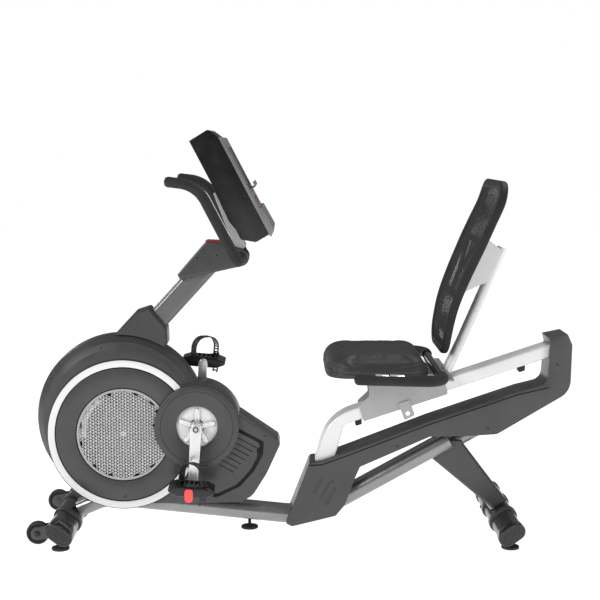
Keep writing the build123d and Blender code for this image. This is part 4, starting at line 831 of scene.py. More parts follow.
    def shroud(self) -> None:
        """Crank shroud with its groove and the white disc behind the crank."""
        low, high = -self.face - self.shroud_depth, -self.face + 0.02
        r, recess = self.shroud_radius, self.recess_radius
        profile = [(r, high), (r, low + 5), (r - 1.4, low + 1.6), (r - 5, low), (111.5, low),
                   (111, low + 1.6),
                   (109.5, low + 1.6), (109, low), (recess + 2.5, low), (recess + 0.6, low + 0.7),
                   (recess, low + 2.4), (recess, high - 3), (21, high - 3), (21, high)]
        both_sides(Shape.lathe("shroud_left", self.crank, profile, 160), "frame", "dark_plastic",
                   DARK_PLASTIC, ["crank_shrouds"])
        floor = high - 3
        disc = [(recess - 0.8, floor), (recess - 0.8, floor - 1.0), (recess - 1.8, floor - 1.6),
                (24, floor - 1.6),
                (23, floor - 1.0), (23, floor)]
        both_sides(Shape.lathe("crank_disc_left", self.crank, disc, 96), "frame", "white_trim", WHITE_TRIM,
                   [])

    def grille(self) -> None:
        """Pressed grille of three-armed cells and its rim."""
        pitch, reach = self.grille_pitch, self.grille_radius - 7.0
        row = pitch * math.sqrt(3) / 2
        low, high = -self.proud + 0.6, -self.face + 0.02
        cell = self.grille_cell(pitch, low, low + 1.0)
        points: list[Vec3] = []
        span = int(reach / row) + 1
        for j in range(-span, span + 1):
            for i in range(-span - 2, span + 3):
                x = self.flywheel[0] + (i + 0.5 * (j % 2)) * pitch
                z = self.flywheel[1] + j * row
                if (math.hypot(x - self.flywheel[0], z - self.flywheel[1]) < reach
                        and math.hypot(x - self.crank[0], z - self.crank[1]) > self.shroud_radius - 2):
                    points.append((x, 0.0, z))
        cells = PATTERN.repeat("cells", cell, points, GRILLE, weld=0.02)
        outer, inner = self.grille_radius - 0.4, self.grille_radius - 7.5
        profile = [(outer, high), (outer, -self.proud + 0.8), (outer - 0.8, -self.proud),
                   (inner + 0.8, -self.proud),
                   (inner, -self.proud + 0.8), (inner, high)]
        rim = Shape.lathe("rim", self.flywheel, profile, 160)
        rim.data.materials.append(SHEET_METAL.material())
        Shape.combine(rim, [self.bite(-1.0)])
        both_sides(Shape.join("grille_left", [rim, cells]), "frame", "grille", None, ["grilles"], angle=20)

    @staticmethod
    def grille_cell(pitch: float, low: float, high: float) -> bpy.types.Object:
        """Hexagonal cell with two triangular holes either side of a raised three-armed rib."""
        mesh = bmesh.new()
        hexagon = [(pitch / math.sqrt(3) * math.sin(math.tau * k / 6),
                    pitch / math.sqrt(3) * math.cos(math.tau * k / 6))
                   for k in range(6)]
        top = [mesh.verts.new((x * MM, low * MM, z * MM)) for x, z in hexagon]
        base = [mesh.verts.new((x * MM, high * MM, z * MM)) for x, z in hexagon]
        hub_top = mesh.verts.new((0, (low - 0.5) * MM, 0))
        hub_base = mesh.verts.new((0, high * MM, 0))
        for k in range(6):
            corners = [(0.0, 0.0), hexagon[k], hexagon[(k + 1) % 6]]
            centre = (sum(c[0] for c in corners) / 3, sum(c[1] for c in corners) / 3)
            share = 0.88 if k % 2 else 0.68
            holes = []
            for y in (low, high):
                holes.append([mesh.verts.new(((centre[0] + (x - centre[0]) * share) * MM, y * MM,
                                              (centre[1] + (z - centre[1]) * share) * MM)) for x,
                              z in corners])
            for outer, hole in (([hub_top, top[k], top[(k + 1) % 6]], holes[0]),
                                ([hub_base, base[k], base[(k + 1) % 6]], holes[1])):
                for n in range(3):
                    mesh.faces.new((outer[n], outer[(n + 1) % 3], hole[(n + 1) % 3], hole[n]))
            for n in range(3):
                mesh.faces.new((holes[0][n], holes[0][(n + 1) % 3], holes[1][(n + 1) % 3], holes[1][n]))
        return Shape.from_bmesh("cell", mesh)


# ---- crank and pedals -------------------------------------------------------------------------
@dataclass
class Crank:
    """Both crank arms with their spiders, and both pedals with straps and reflectors."""

    axis: Vec2 = (-321.0, 335.0)
    length: float = 170.0
    plane: float = 100.0
    thickness: float = 14.0
    lean: float = 3.5
    spider_radius: float = 57.0
    spindle_end: float = 196.0
    pedal_length: float = 137.0
    pedal_width: float = 88.0
    pedal_height: float = 32.0
    pedal_gap: float = 5.0
    pedal_tilt: float = -5.0
    strap_half: float = 46.0
    strap_width: float = 24.8
    strap_rise: float = 62.0

    def build(self) -> None:
        """Makes left pieces, and right pieces half a turn away."""
        for side, name in ((-1, "left"), (1, "right")):
            angle = 90 - self.lean + (180 if side < 0 else 0)
            pedal = along(self.axis, angle, self.length)
            self.arm(side, name, angle, pedal)
            self.pedal(side, name, pedal)

    def across(self, side: int, low: float, high: float) -> tuple[float, float]:
        """Crosswise limits of a piece on one side."""
        return (low, high) if side > 0 else (-high, -low)

    def arm(self, side: int, name: str, angle: float, pedal: Vec2) -> None:
        """Arm, hub, open-armed spider, bolt and spindle of one side."""
        low, high = self.plane - self.thickness / 2, self.plane + self.thickness / 2
        arm = Shape.prism("arm", Shape.hull((*self.axis, 18), (*pedal, 14)), *self.across(side, low, high),
                          3.2, 4)
        hub_profile = [(0, 66), (19, 66), (20, 67), (20, 71), (18, 73), (18, low + 2), (0, low + 2)]
        hub = Shape.lathe("hub", self.axis, [(r, side * y) for r, y in hub_profile], 64)
        spider = []
        for turn in range(5):
            lean = angle + 36 + 72 * turn
            bar = Shape.slot(self.axis, along(self.axis, lean, self.spider_radius - 7), 15)
            one = Shape.prism("spider", bar, *self.across(side, 66, 71), 1.4, 3)
            slit = Shape.slot(along(self.axis, lean, 27), along(self.axis, lean, 42), 6)
            spider.append(Shape.combine(one, [Shape.prism("slit", slit, *self.across(side, 69.4, 76))]))
        ends = [(0, high - 1), (10, high - 1), (10, high + 3), (7, high + 3), (7, self.spindle_end - 1),
                (6, self.spindle_end), (0, self.spindle_end)]
        spindle = Shape.lathe("spindle", pedal, [(r, side * y) for r, y in ends], 48)
        made = Shape.combine(arm, [hub, *spider, spindle], "UNION")
        made.name = f"crank_arm_{name}"
        place(made, "crank", "crank_metal", CRANK_METAL, f"crank_arm_{name}")
        bolt = [(0, high - 0.5), (11, high - 0.5), (11, high + 0.8), (9.4, high + 1.2), (9.4, high + 3.2),
                (8.6, high + 4), (5.4, high + 4), (4.8, high + 1.2), (0, high + 1.2)]
        place(Shape.lathe(f"crank_bolt_{name}", self.axis, [(r, side * y) for r, y in bolt], 40), "crank",
              "black_paint", BLACK_PAINT)

    def pedal(self, side: int, name: str, axis: Vec2) -> None:
        """Platform with tread, buckle slots, strap and reflector."""
        low = self.plane + self.thickness / 2 + self.pedal_gap
        high = low + self.pedal_width
        half, height = self.pedal_length / 2, self.pedal_height / 2
        x, z = axis
        corners = [(-half, 8, 6), (-half, -4, 6), (-half + 26, -height, 8), (half - 26, -height, 8),
                   (half, -4, 6),
                   (half, 8, 6), (half - 22, height, 8), (-half + 22, height, 8)]
        body = Shape.prism("body", [(x + u, z + v) for u, v in Shape.rounded(corners)],
                           *self.across(side, low, high), 5, 4)
        bore = Shape.lathe("bore", axis, [(0, side * (low - 2)), (7.4, side * (low - 2)),
                                          (7.4, side * (high - 6)),
                                          (0, side * (high - 6))], 40)
        pockets = [Shape.prism("pocket", [(x + a, z + b) for a, b in Shape.rounded(
            [(u, 11, 1), (u + 9, 11, 1), (u + 9, 30, 0), (u, 30, 0)])],
            *self.across(side, low + 14, high - 14)) for u in (-34, -20, -6, 8, 22)]
        window = Shape.prism("window", [(x + a, z + b) for a, b in Shape.rounded(
            [(-24, -9, 3), (24, -9, 3), (24, -30, 0), (-24, -30, 0)])],
                             *self.across(side, low + 12, high - 12))
        Shape.combine(body, [bore, *pockets, window])
        made = body
        made.name = f"pedal_platform_{name}"
        middle = (x, 0, z)
        place(Shape.turn(made, middle, (0, -self.pedal_tilt, 0)), f"pedal_{name}", "black_plastic",
              BLACK_PLASTIC, f"pedal_{name}")
        self.reflector(side, name, axis, high)
        self.strap(side, name, axis, (low + high) / 2)

    def reflector(self, side: int, name: str, axis: Vec2, face: float) -> None:
        """Red lens in a rim on the pedal's outer side."""
        x, z = axis
        spot = (x - 6, z - 10)

        def pill(half: float, high: float, corner: float) -> list[Vec2]:
            """Upright rounded outline about the lens's middle."""
            return Shape.rounded([(spot[0] + u * half, spot[1] + v * high, corner)
                                  for u, v in ((-1, -1), (1, -1), (1, 1), (-1, 1))])

        rim = Shape.prism("rim", pill(14, 22, 11), *self.across(side, face - 1, face + 1.2), 0.6, 2)
        rim.name = f"reflector_rim_{name}"
        lens = Shape.prism("lens", pill(12.5, 20.5, 10), *self.across(side, face + 0.8, face + 2.4), 0.7, 3)
        lens.name = f"reflector_{name}"
        place(rim, f"pedal_{name}", "black_plastic", BLACK_PLASTIC)
        place(lens, f"pedal_{name}", "red_accent", LENS)

    def strap(self, side: int, name: str, axis: Vec2, middle: float) -> None:
        """Laddered strap arched over the platform."""
        half, base = self.strap_half - 1.5, self.pedal_height / 2 + 0.3
        top = base + self.strap_rise - 1.5
        path = Shape.route([(-half, 0, base + 0.4), (-half, 0, top), (half, 0, top), (half, 0, base + 0.4)],
                           [36, 36], 6.0)
        edge = self.strap_width / 2
        rail = [(-edge, -1.4), (4.2 - edge, -1.4), (4.2 - edge, 1.4), (-edge, 1.4)]
        other = [(-u, v) for u, v in reversed(rail)]

        def crosswise(_: int) -> Vector:
            """The strap's width runs crosswise."""
            return Vector((0, 1, 0))

        tail = Shape.route([(half + 3.5, 0, base + 9), (half + 4.5, 0, base - 30),
                            (half + 2, 0, -self.pedal_height - 8)],
                           [60], 6.0)
        rails = [Shape.sweep("strap_rail", line, r, side=crosswise) for r in (rail, other)
                 for line in (path, tail)]
        solid = path[:len(path) * 3 // 5]
        rails.append(Shape.sweep("strap_pad", solid, [(-9, -1.2), (9, -1.2), (9, 1.2), (-9, 1.2)],
                                 side=crosswise))
        rung = Shape.prism("rung", Shape.rounded([(-2.2, -1.2, 0.5), (2.2, -1.2, 0.5), (2.2, 1.2, 0.5),
                                                  (-2.2, 1.2, 0.5)]), -9, 9)
        points: list[Vec3] = []
        turns: list[Vec3] = []
        for line in (path, tail):
            for k in range(1, len(line) - 1, 2):
                lean = line[k + 1] - line[k - 1]
                points.append(tuple(line[k]))
                turns.append((0.0, -math.degrees(math.atan2(lean.z, lean.x)), 0.0))
        rungs = PATTERN.repeat("rungs", rung, points, STRAP, turns)
        feet = [Shape.prism("foot", [(u, base - 0.1), (u + 14, base - 0.1), (u + 14, base + 2.4),
                                     (u, base + 2.4)],
                            -edge, edge, 0.5, 2) for u in (-half - 1, half - 13)]
        made = Shape.join(f"strap_{name}", [*rails, rungs, *feet])
        made.data.materials.clear()
        made.data.transform(Matrix.Translation(Vector((axis[0], side * middle, axis[1])) * MM)
                            @ Euler((0, math.radians(-self.pedal_tilt), 0)).to_matrix().to_4x4()
                            @ Euler((0, 0, math.radians(40 * side))).to_matrix().to_4x4())
        place(made, f"pedal_{name}", "rubber", STRAP, f"pedal_strap_{name}")


# ---- mast, handlebar and console --------------------------------------------------------------
@dataclass
class Mast:
    """Boot, head covers and handlebar grips."""

    foot: Vec2 = (-567.7, 520.0)
    angle: float = 47.5
    clamp: Vec2 = (-187.0, 850.0)
    boot_half: float = 45.0
    head_half: float = 40.0
    head_radius: float = 27.0
    handle_plane: float = 230.0
    handle_tube: float = 12.7
    foam: float = 2.8
    bend: float = 45.0
    grip_end: float = 62.0
    housing: Vec2 = (-554.0, 358.0)
    housing_radius: float = 257.0

    def mast_hole(self, grow: float) -> bpy.types.Object:
        """Cutter of the mast's rectangular tube."""
        path = [Vector((*self.foot, 0)), Vector((*along(self.foot, self.angle, 446.3), 0))]
        path = [Vector((p.x, 0, p.y)) for p in path]
        outline = Shape.rounded([(-33 - grow, -25 - grow, 14), (33 + grow, -25 - grow, 14),
                                 (33 + grow, 25 + grow, 14), (-33 - grow, 25 + grow, 14)])
        return Shape.sweep("mast_hole", path, outline, side=lambda _: Vector((0, 1, 0)))

    def build(self) -> None:
        """Makes the boot, the two head covers, the inlay and the grips."""
        boot = Shape.prism("mast_boot", Shape.rounded([(-569, 617, 8), (-506, 685, 10), (-464, 699, 8),
                                                       (-411, 636, 12), (-409, 587, 8), (-429, 565, 0),
                                                       (-553, 585, 0)]), -self.boot_half, self.boot_half,
                           7, 1)
        self.crease(boot)
        round_off = Shape.lathe("round", self.housing, [(0, -80), (self.housing_radius + 0.3, -80),
                                                        (self.housing_radius + 0.3, 80), (0, 80)], 160)
        Shape.combine(boot, [round_off, self.mast_hole(0.6)])
        place(boot, "frame", "dark_plastic", DARK_PLASTIC, "mast_boot", angle=14)
        self.head()
        self.grips()

    def crease(self, boot: bpy.types.Object) -> None:
        """Narrows the boot towards its top so that its faces slope in."""
        for vertex in boot.data.vertices:
            rise = max(0.0, vertex.co.z / MM - 600.0)
            limit = self.boot_half - rise * 0.06
            scale = limit / self.boot_half
            vertex.co.y *= scale

    def head(self) -> None:
        """Head covers wrapped round the clamp, with a red inlay along their top."""
        outline = Shape.hull((-366, 789, 6), (-371, 797, 6), (-302, 877, 6), (-287, 893, 6), (-244, 891, 6),
                             (*self.clamp, self.head_radius))
        cover = Shape.prism("head_left", outline, -self.head_half, -0.2, 5, 4, both=False)
        hollow = Shape.prism("hollow", [(x * 0.985 + self.clamp[0] * 0.015, z * 0.985 + 840 * 0.015)
                                        for x, z in outline], -self.head_half + 3, 3)
        bore = Shape.lathe("bore", self.clamp, [(0, -90), (self.handle_tube + self.foam + 0.6, -90),
                                                (self.handle_tube + self.foam + 0.6, 5), (0, 5)], 48)
        slot = Shape.prism("slot", [(-230, 860), (-160, 860), (-160, 960), (-230, 960)], -26.4, 5)
        Shape.combine(cover, [hollow, self.mast_hole(0.4), bore, slot])
        both_sides(cover, "frame", "dark_plastic", DARK_PLASTIC, ["upper_covers"])
        inlay = Shape.prism("inlay", Shape.rounded([(-294, 898.6, 0), (-287, 901.6, 3), (-244, 899.6, 3),
                                                    (-233, 896.0, 0),
                                                    (-240, 893.0, 3), (-286, 895.0, 3)]), -25, 25, 0.8, 2)
        inlay.name = "head_inlay"
        place(inlay, "frame", "red_accent", RED)

    def grips(self) -> None:
        """Foam on both uprights, with rounded tips and a stitched-looking seam ring."""
        radius = self.handle_tube + self.foam
        path = Shape.route([(-397.5, -self.handle_plane, 1084.4), (-303, -self.handle_plane, 1073),
                            (self.clamp[0], -self.handle_plane, self.clamp[1]),
                            (self.clamp[0], -self.grip_end, self.clamp[1])], [95, self.bend], 2.5)
        section = [(radius * math.cos(math.tau * k / 32), radius * math.sin(math.tau * k / 32))
                   for k in range(32)]
        total = sum((b - a).length for a, b in zip(path, path[1:]))

        def tip(distance: float) -> float:
            """Rounds the free end and eases the inner end."""
            near, far = min(1.0, distance / 14), min(1.0, (total - distance) / 3)
            ends = math.sqrt(max(0.0, 1 - (1 - near) ** 2)) * (0.93 + 0.07 * far)
            seam = 0.035 * math.exp(-((distance - 24) / 1.6) ** 2)
            return max(0.05, ends) - seam

        grip = Shape.sweep("grip_left", path, section, grow=tip)
        both_sides(grip, "frame", "foam", FOAM, ["handlebar_grips"], angle=50)


@dataclass
class Console:
    """Console on its bracket: case, bezel, screen rim and book ledge."""

    low: Vec2 = (-124.0, 978.0)
    angle: float = 117.5
    length: float = 263.0
    half: float = 160.0
    back: float = 90.0
    side_depth: float = 52.0
    back_half: float = 124.0
    bezel: float = 10.0
    screen: tuple[float, float, float] = (96.0, 226.0, 118.0)
    key_up: float = 48.0
    key_pitch: float = 44.0
    key_radius: float = 11.0
    ledge_up: float = 84.0
    ledge_half: float = 110.0

    def spot(self, up: float, out: float) -> Vec2:
        """X-Z point from a distance up the face and a distance out of it."""
        return along(along(self.low, self.angle, up), self.angle - 90, out)

    def outline(self, *corners: Corner) -> list[Vec2]:
        """Outline from (up, out, radius) corners."""
        return Shape.rounded([(*self.spot(up, out), radius) for up, out, radius in corners])

    def build(self) -> None:
        """Makes the case, bezel, screen frame, ledge and vents."""
        top = self.length
        case = Shape.prism("console_case", self.outline((top, 0, 0), (top + 33, -16, 8),
                                                        (top + 28, 5 - self.back, 6),
                                                        (26, -self.back - 5, 16), (-31, 9 - self.back, 14),
                                                        (-59, -45, 10), (-57, 0, 0)), -self.half, self.half)
        plan = [(-self.half, -80), (self.half, -80), (self.half, self.side_depth),
                (self.back_half, self.back + 20),
                (-self.back_half, self.back + 20), (-self.half, self.side_depth)]
        path = [Vector((p[0], 0, p[1])) for p in (self.spot(-150, 0), self.spot(400, 0))]
        tray = Shape.sweep("tray", path, [(u, v) for u, v in plan], side=lambda _: Vector((0, 1, 0)))
        Shape.combine(case, [tray], "INTERSECT")
        edge = case.modifiers.new("edge", "BEVEL")
        edge.width, edge.segments = 2.4 * MM, 3
        edge.limit_method, edge.angle_limit = "ANGLE", math.radians(18)
        Shape.settle(case)
        vents = [Shape.prism("vent", self.outline((150 + 12 * k, -self.back - 20, 0),
                                                  (156 + 12 * k, -self.back - 20, 0),
                                                  (156 + 12 * k, -self.back + 8.5, 0),
                                                  (150 + 12 * k, -self.back + 8.5, 0)),
                             -70, 70) for k in range(5)]
        Shape.combine(case, vents)
        place(case, "frame", "black_plastic", BLACK_PLASTIC, "console_rear_case", angle=22)
        self.front()

    def front(self) -> None:
        """Bezel with its screen pocket and key wells, the glass and the ledge."""
        b = self.bezel
        bezel = Shape.prism("console_front", self.outline((self.length, 0.05, 0), (self.length - 6, b, 4),
                                                          (26, b, 0),
                                                          (22, b + 8, 3), (-52, b + 10, 9), (-72, -6, 3),
                                                          (-60, 0.05, 0)),
                            -self.half, self.half, 3, 3)
        low, high, half = self.screen
        pocket = Shape.prism("pocket", self.outline((low, b - 4, 0), (high, b - 4, 0), (high, b + 6, 0),
                                                    (low, b + 6, 0)),
                             -half, half)
        wells = []
        for k in (-1, 0, 1):
            wells.append(self.well(k * self.key_pitch))
        Shape.combine(bezel, [pocket, *wells])
        place(bezel, "frame", "console_silver", SILVER, "console_bezel", angle=24)
        glass = Shape.prism("console_glass", self.outline((low + 0.4, b - 4, 0), (high - 0.4, b - 4, 0),
                                                          (high - 0.4, b - 1.2, 0.6),
                                                          (low + 0.4, b - 1.2, 0.6)),
                            -half + 0.4, half - 0.4, 0.5, 2)
        place(glass, "frame", "screen", SCREEN, "console_screen")
        u, t = self.ledge_up, 3.0
        ledge = Shape.prism("book_ledge", self.outline((u, b - 0.5, 0), (u + t, b - 0.5, 0),
                                                       (u + t, b + 17, 3), (u + 16, b + 17, 1.2),
                                                       (u + 16, b + 20, 1.2), (u, b + 20, 5)),
                            -self.ledge_half, self.ledge_half, 1.2, 3)
        place(ledge, "frame", "console_silver", SILVER, "media_ledge")

    def well(self, y: float) -> bpy.types.Object:
        """Round cutter for one key."""
        path = [Vector((p[0], y, p[1])) for p in (self.spot(self.key_up, 2), self.spot(self.key_up, 40))]
        radius = self.key_radius + 0.5
        return Shape.sweep("well", path, [(radius * math.cos(math.tau * k / 40),
                                           radius * math.sin(math.tau * k / 40))
                                          for k in range(40)])


# ---- rear casing, seat and backrest -----------------------------------------------------------
@dataclass
class RearCasing:
    """Casing halves round the seat rail's supports, and the rear leg's covers."""

    half: float = 60.0
    wall: float = 3.0
    chamfer: float = 6.0
    rail_at: Vec2 = (447.0, 460.0)
    rail_slope: float = 18.4
    rail_width: float = 80.0
    rail_height: float = 38.0
    leg_half: float = 30.0

    def outline(self, s: float) -> list[Vec2]:
        """Side outline drawn in by a margin."""
        return Shape.rounded([(-50 + s, 30 + s / 2, 6), (24 + s, 221 - s, 14), (62, 225 - s, 30),
                              (141, 254 - s, 30),
                              (391, 350 - s, 60), (665, 443 - s, 60), (748 + s, 464 - s, 34),
                              (756 + s, 585, 0),
                              (750 + s, 606 - s, 2), (807 - s, 618 - s, 4), (822 - s, 585, 12),
                              (819 - s, 440 + s, 60), (597, 308 + s, 30), (514, 303 + s, 20),
                              (392, 301 + s, 10),
                              (178, 207 + s, 10), (163, 173 + s / 2, 10), (132 - s, 88, 40),
                              (104, 53 + s, 20),
                              (-31 + s, 20 + s, 8)])

    def rail_line(self, x: float, offset: float) -> float:
        """Height of a line parallel to the rail's middle line."""
        slope = math.radians(self.rail_slope)
        return self.rail_at[1] + (x - self.rail_at[0]) * math.tan(slope) + offset / math.cos(slope)

    def rail_cutter(self) -> bpy.types.Object:
        """Room for the rail and its front leg."""
        h, g = self.rail_height / 2, 0.3
        corners = [(790 + g, self.rail_line(790, h + g), 0), (76.6 - g, self.rail_line(76.6, h) + g, 150),
                   (-14 - g, 20 - g, 0), (52 + g, 50 - g, 0), (129 + g, self.rail_line(129, -h) - g, 18),
                   (790 + g, self.rail_line(790, -h - g), 0)]
        return Shape.prism("rail_room", Shape.rounded(corners), -self.rail_width / 2 - g, 5)

    @staticmethod
    def oval(name: str, width: float, height: float, points: Sequence[Vec2],
             radii: Sequence[float]) -> bpy.types.Object:
        """Oval bar cutter along an X-Z route."""
        path = Shape.route([(x, 0, z) for x, z in points], radii)
        section = [(width / 2 * math.copysign(abs(math.cos(a)) ** 0.7, math.cos(a)),
                    height / 2 * math.copysign(abs(math.sin(a)) ** 0.7, math.sin(a)))
                   for a in (math.tau * k / 40 for k in range(40))]
        return Shape.sweep(name, path, section, side=lambda _: Vector((0, 1, 0)))

    def rooms(self) -> list[bpy.types.Object]:
        """Cutters for the tubes that pass through."""
        return [self.rail_cutter(), self.oval("tube_room", 89, 49, [(-200, 79.8), (20, 40), (455, 281)],
                                              [250]),
                self.oval("leg_room", 50, 46, [(470, 262), (604, 70)], []),
                self.oval("riser_room", 51, 37, [(430, 250), (778, 440), (778, 556)], [45])]

    def build(self) -> None:
        """Makes the casing halves and the leg covers."""
        casing = Shape.prism("casing_left", self.outline(0), -self.half, -0.2, self.chamfer, 3, both=False)
        hollow = Shape.prism("hollow", self.outline(self.wall), -self.half + self.wall, 5)
        line = Shape.rounded([(20, 214, 1), (60, 216, 30), (140, 245, 30), (388, 341, 60), (662, 434, 60),
                              (752, 455, 1), (752, 451, 1), (662, 430, 60), (388, 337, 60), (140, 241, 30),
                              (60, 212, 30), (22, 210, 1)])
        groove = Shape.prism("groove", line, -self.half - 2, -self.half + 1.6)
        # Painted shade: black strip in the groove's floor, standing in for the shade there.
        strip = Shape.prism("groove_strip_left", line, -self.half + 1.0, -self.half + 1.6)
        both_sides(strip, "frame", "black_plastic", PAINTED_SHADE_BLACK, [])
        slots = []
        for k in range(3):
            start = (38.0 + 19.0 * k, 128.0 - 17.0 * k)
            slots.append(Shape.prism("slot", Shape.slot(start, along(start, 62, 52), 9), -self.half - 2,
                                     -self.half + 2.2, 0.8, 1))
        panel = Shape.prism("panel", Shape.rounded([(172, 178, 6), (186, 199, 10), (392, 290, 6),
                                                    (392, 300.5, 4),
                                                    (182, 208, 8), (166, 184, 6)]), -self.half - 2,
                            -self.half + 1.4)
        Shape.combine(casing, [hollow, *self.rooms(), groove, panel, *slots])
        both_sides(casing, "frame", "dark_plastic", DARK_PLASTIC, ["rear_casing_left"], ["rear_casing_right"],
                   angle=22)
        self.leg_cover()

    def leg_cover(self) -> None:
        """Cover of the rear leg with wide chamfers round a triangular flat."""
        outline = Shape.rounded([(413, 286, 0), (386, 264, 6), (376, 247, 8), (592, 66, 6), (638, 88, 6),
                                 (500, 270, 8), (494, 286, 0)])
        cover = Shape.prism("leg_cover_left", outline, -self.leg_half, -0.2, 9, 1, both=False)
        casing = Shape.prism("casing_room", self.outline(-0.3), -70, 5)
        tilt = math.radians(37)
        stabilizer = Shape.prism("bar_room", [(616 + math.cos(tilt) * u - math.sin(tilt) * v,
                                               48 + math.sin(tilt) * u + math.cos(tilt) * v)
                                              for u, v in Shape.slot((-17.5, 0), (17.5, 0), 46)], -70, 5)
        rooms = self.rooms()
        Shape.combine(cover, [casing, stabilizer, *rooms[1:]])
        bpy.data.objects.remove(rooms[0])
        both_sides(cover, "frame", "dark_plastic", DARK_PLASTIC, ["rear_leg_covers"], angle=16)


@dataclass
class Seat:
    """Cushion, foam grips and the sensor plates on them."""

    middle: float = 222.0
    size: tuple[float, float, float] = (305.0, 400.0, 62.0)
    base: float = 503.3
    corner: float = 70.0
    grip_plane: float = 296.0
    grip_z: float = 521.0
    cross_x: float = 408.0
    tube: float = 11.0
    foam: float = 5.5
    bend: float = 60.0
    frames: int = 20

    def plan(self, shrink: float) -> list[Vec2]:
        """Plan outline, drawn in by a margin, as (x, y)."""
        w, d = self.size[0] / 2 - shrink, self.size[1] / 2 - shrink
        r = max(8.0, self.corner - shrink)
        return Shape.rounded([(self.middle - w, -d, r), (self.middle + w, -d, r * 0.7),
                              (self.middle + w, d, r * 0.7), (self.middle - w, d, r)], 5)

    def build(self) -> None:
        """Makes the cushion, its base edge, the grips and the sensor plates."""
        cushion = self.blank()
        cushion = self.inflate(cushion)
        place(cushion, "seat", "seat_vinyl", VINYL, "seat_cushion", angle=60)
        self.grips()

    def blank(self) -> bpy.types.Object:
        """Cushion before it is inflated: domed, with a dished middle and raised thighs."""
        mesh = bmesh.new()
        rows = []
        top = self.base + self.size[2]
        levels = [(self.base, 9), (self.base + 4, 2), (self.base + 16, 0), (self.base + 30, 0),
                  (top - 24, 3), (top - 13, 9), (top - 5, 21), (top - 1, 36), (top - 0.5, 60), (top - 2, 90),
                  (top - 4, 125)]
        for z, shrink in levels:
            rows.append([mesh.verts.new((x * MM, y * MM, z * MM)) for x, y in self.plan(shrink)])
        for one, two in zip(rows, rows[1:]):
            for k in range(len(one)):
                after = (k + 1) % len(one)
                mesh.faces.new((one[k], one[after], two[after], two[k]))
        mesh.faces.new(rows[0])
        mesh.faces.new(rows[-1])
        made = Shape.from_bmesh("cushion", mesh)
        remesh = made.modifiers.new("remesh", "REMESH")
        remesh.mode, remesh.voxel_size = "VOXEL", 5 * MM
        return Shape.settle(made)

    def inflate(self, cushion: bpy.types.Object) -> bpy.types.Object:
        """Lets pressure and the cover's stiffness shape the cushion.

        Args:
            cushion: The remeshed blank.

        Returns:
            The cushion with its seams pressed in.
        """
        rest = [v.co.copy() for v in cushion.data.vertices]
        pins = cushion.vertex_groups.new(name="pins")
        floor = (self.base + 7) * MM
        pins.add([v.index for v in cushion.data.vertices if v.co.z < floor], 1.0, "REPLACE")
        cloth = cushion.modifiers.new("cloth", "CLOTH")
        settings = cloth.settings
        settings.quality = 6
        settings.mass = 0.3
        settings.tension_stiffness = settings.compression_stiffness = 25
        settings.bending_stiffness = 2
        settings.use_pressure = True
        settings.uniform_pressure_force = 3.0
        settings.vertex_group_mass = "pins"
        settings.effector_weights.gravity = 0.0
        cloth.point_cache.frame_start, cloth.point_cache.frame_end = 1, self.frames
        scene = bpy.context.scene
        for number in range(1, self.frames + 1):
            scene.frame_set(number)
        Shape.settle(cushion)
        scene.frame_set(1)
        self.limit(cushion, rest)
        soft = cushion.modifiers.new("soft", "SUBSURF")
        soft.levels = soft.render_levels = 1
        Shape.settle(cushion)
        self.seams(cushion)
        return cushion

    def limit(self, cushion: bpy.types.Object, rest: Sequence[Vector]) -> None:
        """Keeps the simulated cover within a few millimetres of its blank and above the base plate."""
        cap, low = 5.0 * MM, self.base * MM
        w, d = self.size[0] / 2 + 1.5, self.size[1] / 2 + 1.5
        for vertex, start in zip(cushion.data.vertices, rest):
            shift = vertex.co - start
            if shift.length > cap:
                vertex.co = start + shift * (cap / shift.length)
            vertex.co.z = max(vertex.co.z, low)
            vertex.co.x = min(max(vertex.co.x, (self.middle - w) * MM), (self.middle + w) * MM)
            vertex.co.y = min(max(vertex.co.y, -d * MM), d * MM)

    def seams(self, cushion: bpy.types.Object) -> None:
        """Presses piped seams and the curved channels of the cover into the mesh."""
        top = self.base + self.size[2]
        for vertex in cushion.data.vertices:
            x, y, z = vertex.co / MM
            depth = 0.0
            welt = abs(z - (self.base + 17))
            depth += 2.4 * math.exp(-(welt / 2.4) ** 2)
            if z > top - 30:
                for edge in (64.0, 128.0):
                    curve = edge + 14 * math.cos((x - self.middle) / 120)
                    depth += 2.6 * math.exp(-((abs(y) - curve) / 3.2) ** 2)
            if abs(y) > 140 and z < top - 12:
                curve = self.base + 40 - 10 * math.cos((x - self.middle + 30) / 70)
                depth += 1.6 * math.exp(-((z - curve) / 2.6) ** 2)
            if depth > 0.01:
                vertex.co -= vertex.normal * depth * MM

    def grips(self) -> None:
        """Foam on the handle's free ends and the pulse sensor plates on it."""
        outer = self.tube + self.foam
        z = self.base - 0.3 + self.tube
        points = [(146.0, -self.grip_plane, self.grip_z), (self.cross_x, -self.grip_plane, z),
                  (self.cross_x, -self.grip_plane + 90, z)]
        path = Shape.route(points, [self.bend], 2.5)
        section = [(outer * math.cos(math.tau * k / 36), outer * math.sin(math.tau * k / 36))
                   for k in range(36)]
        total = sum((b - a).length for a, b in zip(path, path[1:]))

        def tip(distance: float) -> float:
            """Rounds both ends of the foam."""
            near, far = min(1.0, distance / 15), min(1.0, (total - distance) / 4)
            return max(0.05, math.sqrt(max(0.0, 1 - (1 - near) ** 2))) * (0.9 + 0.1 * far)

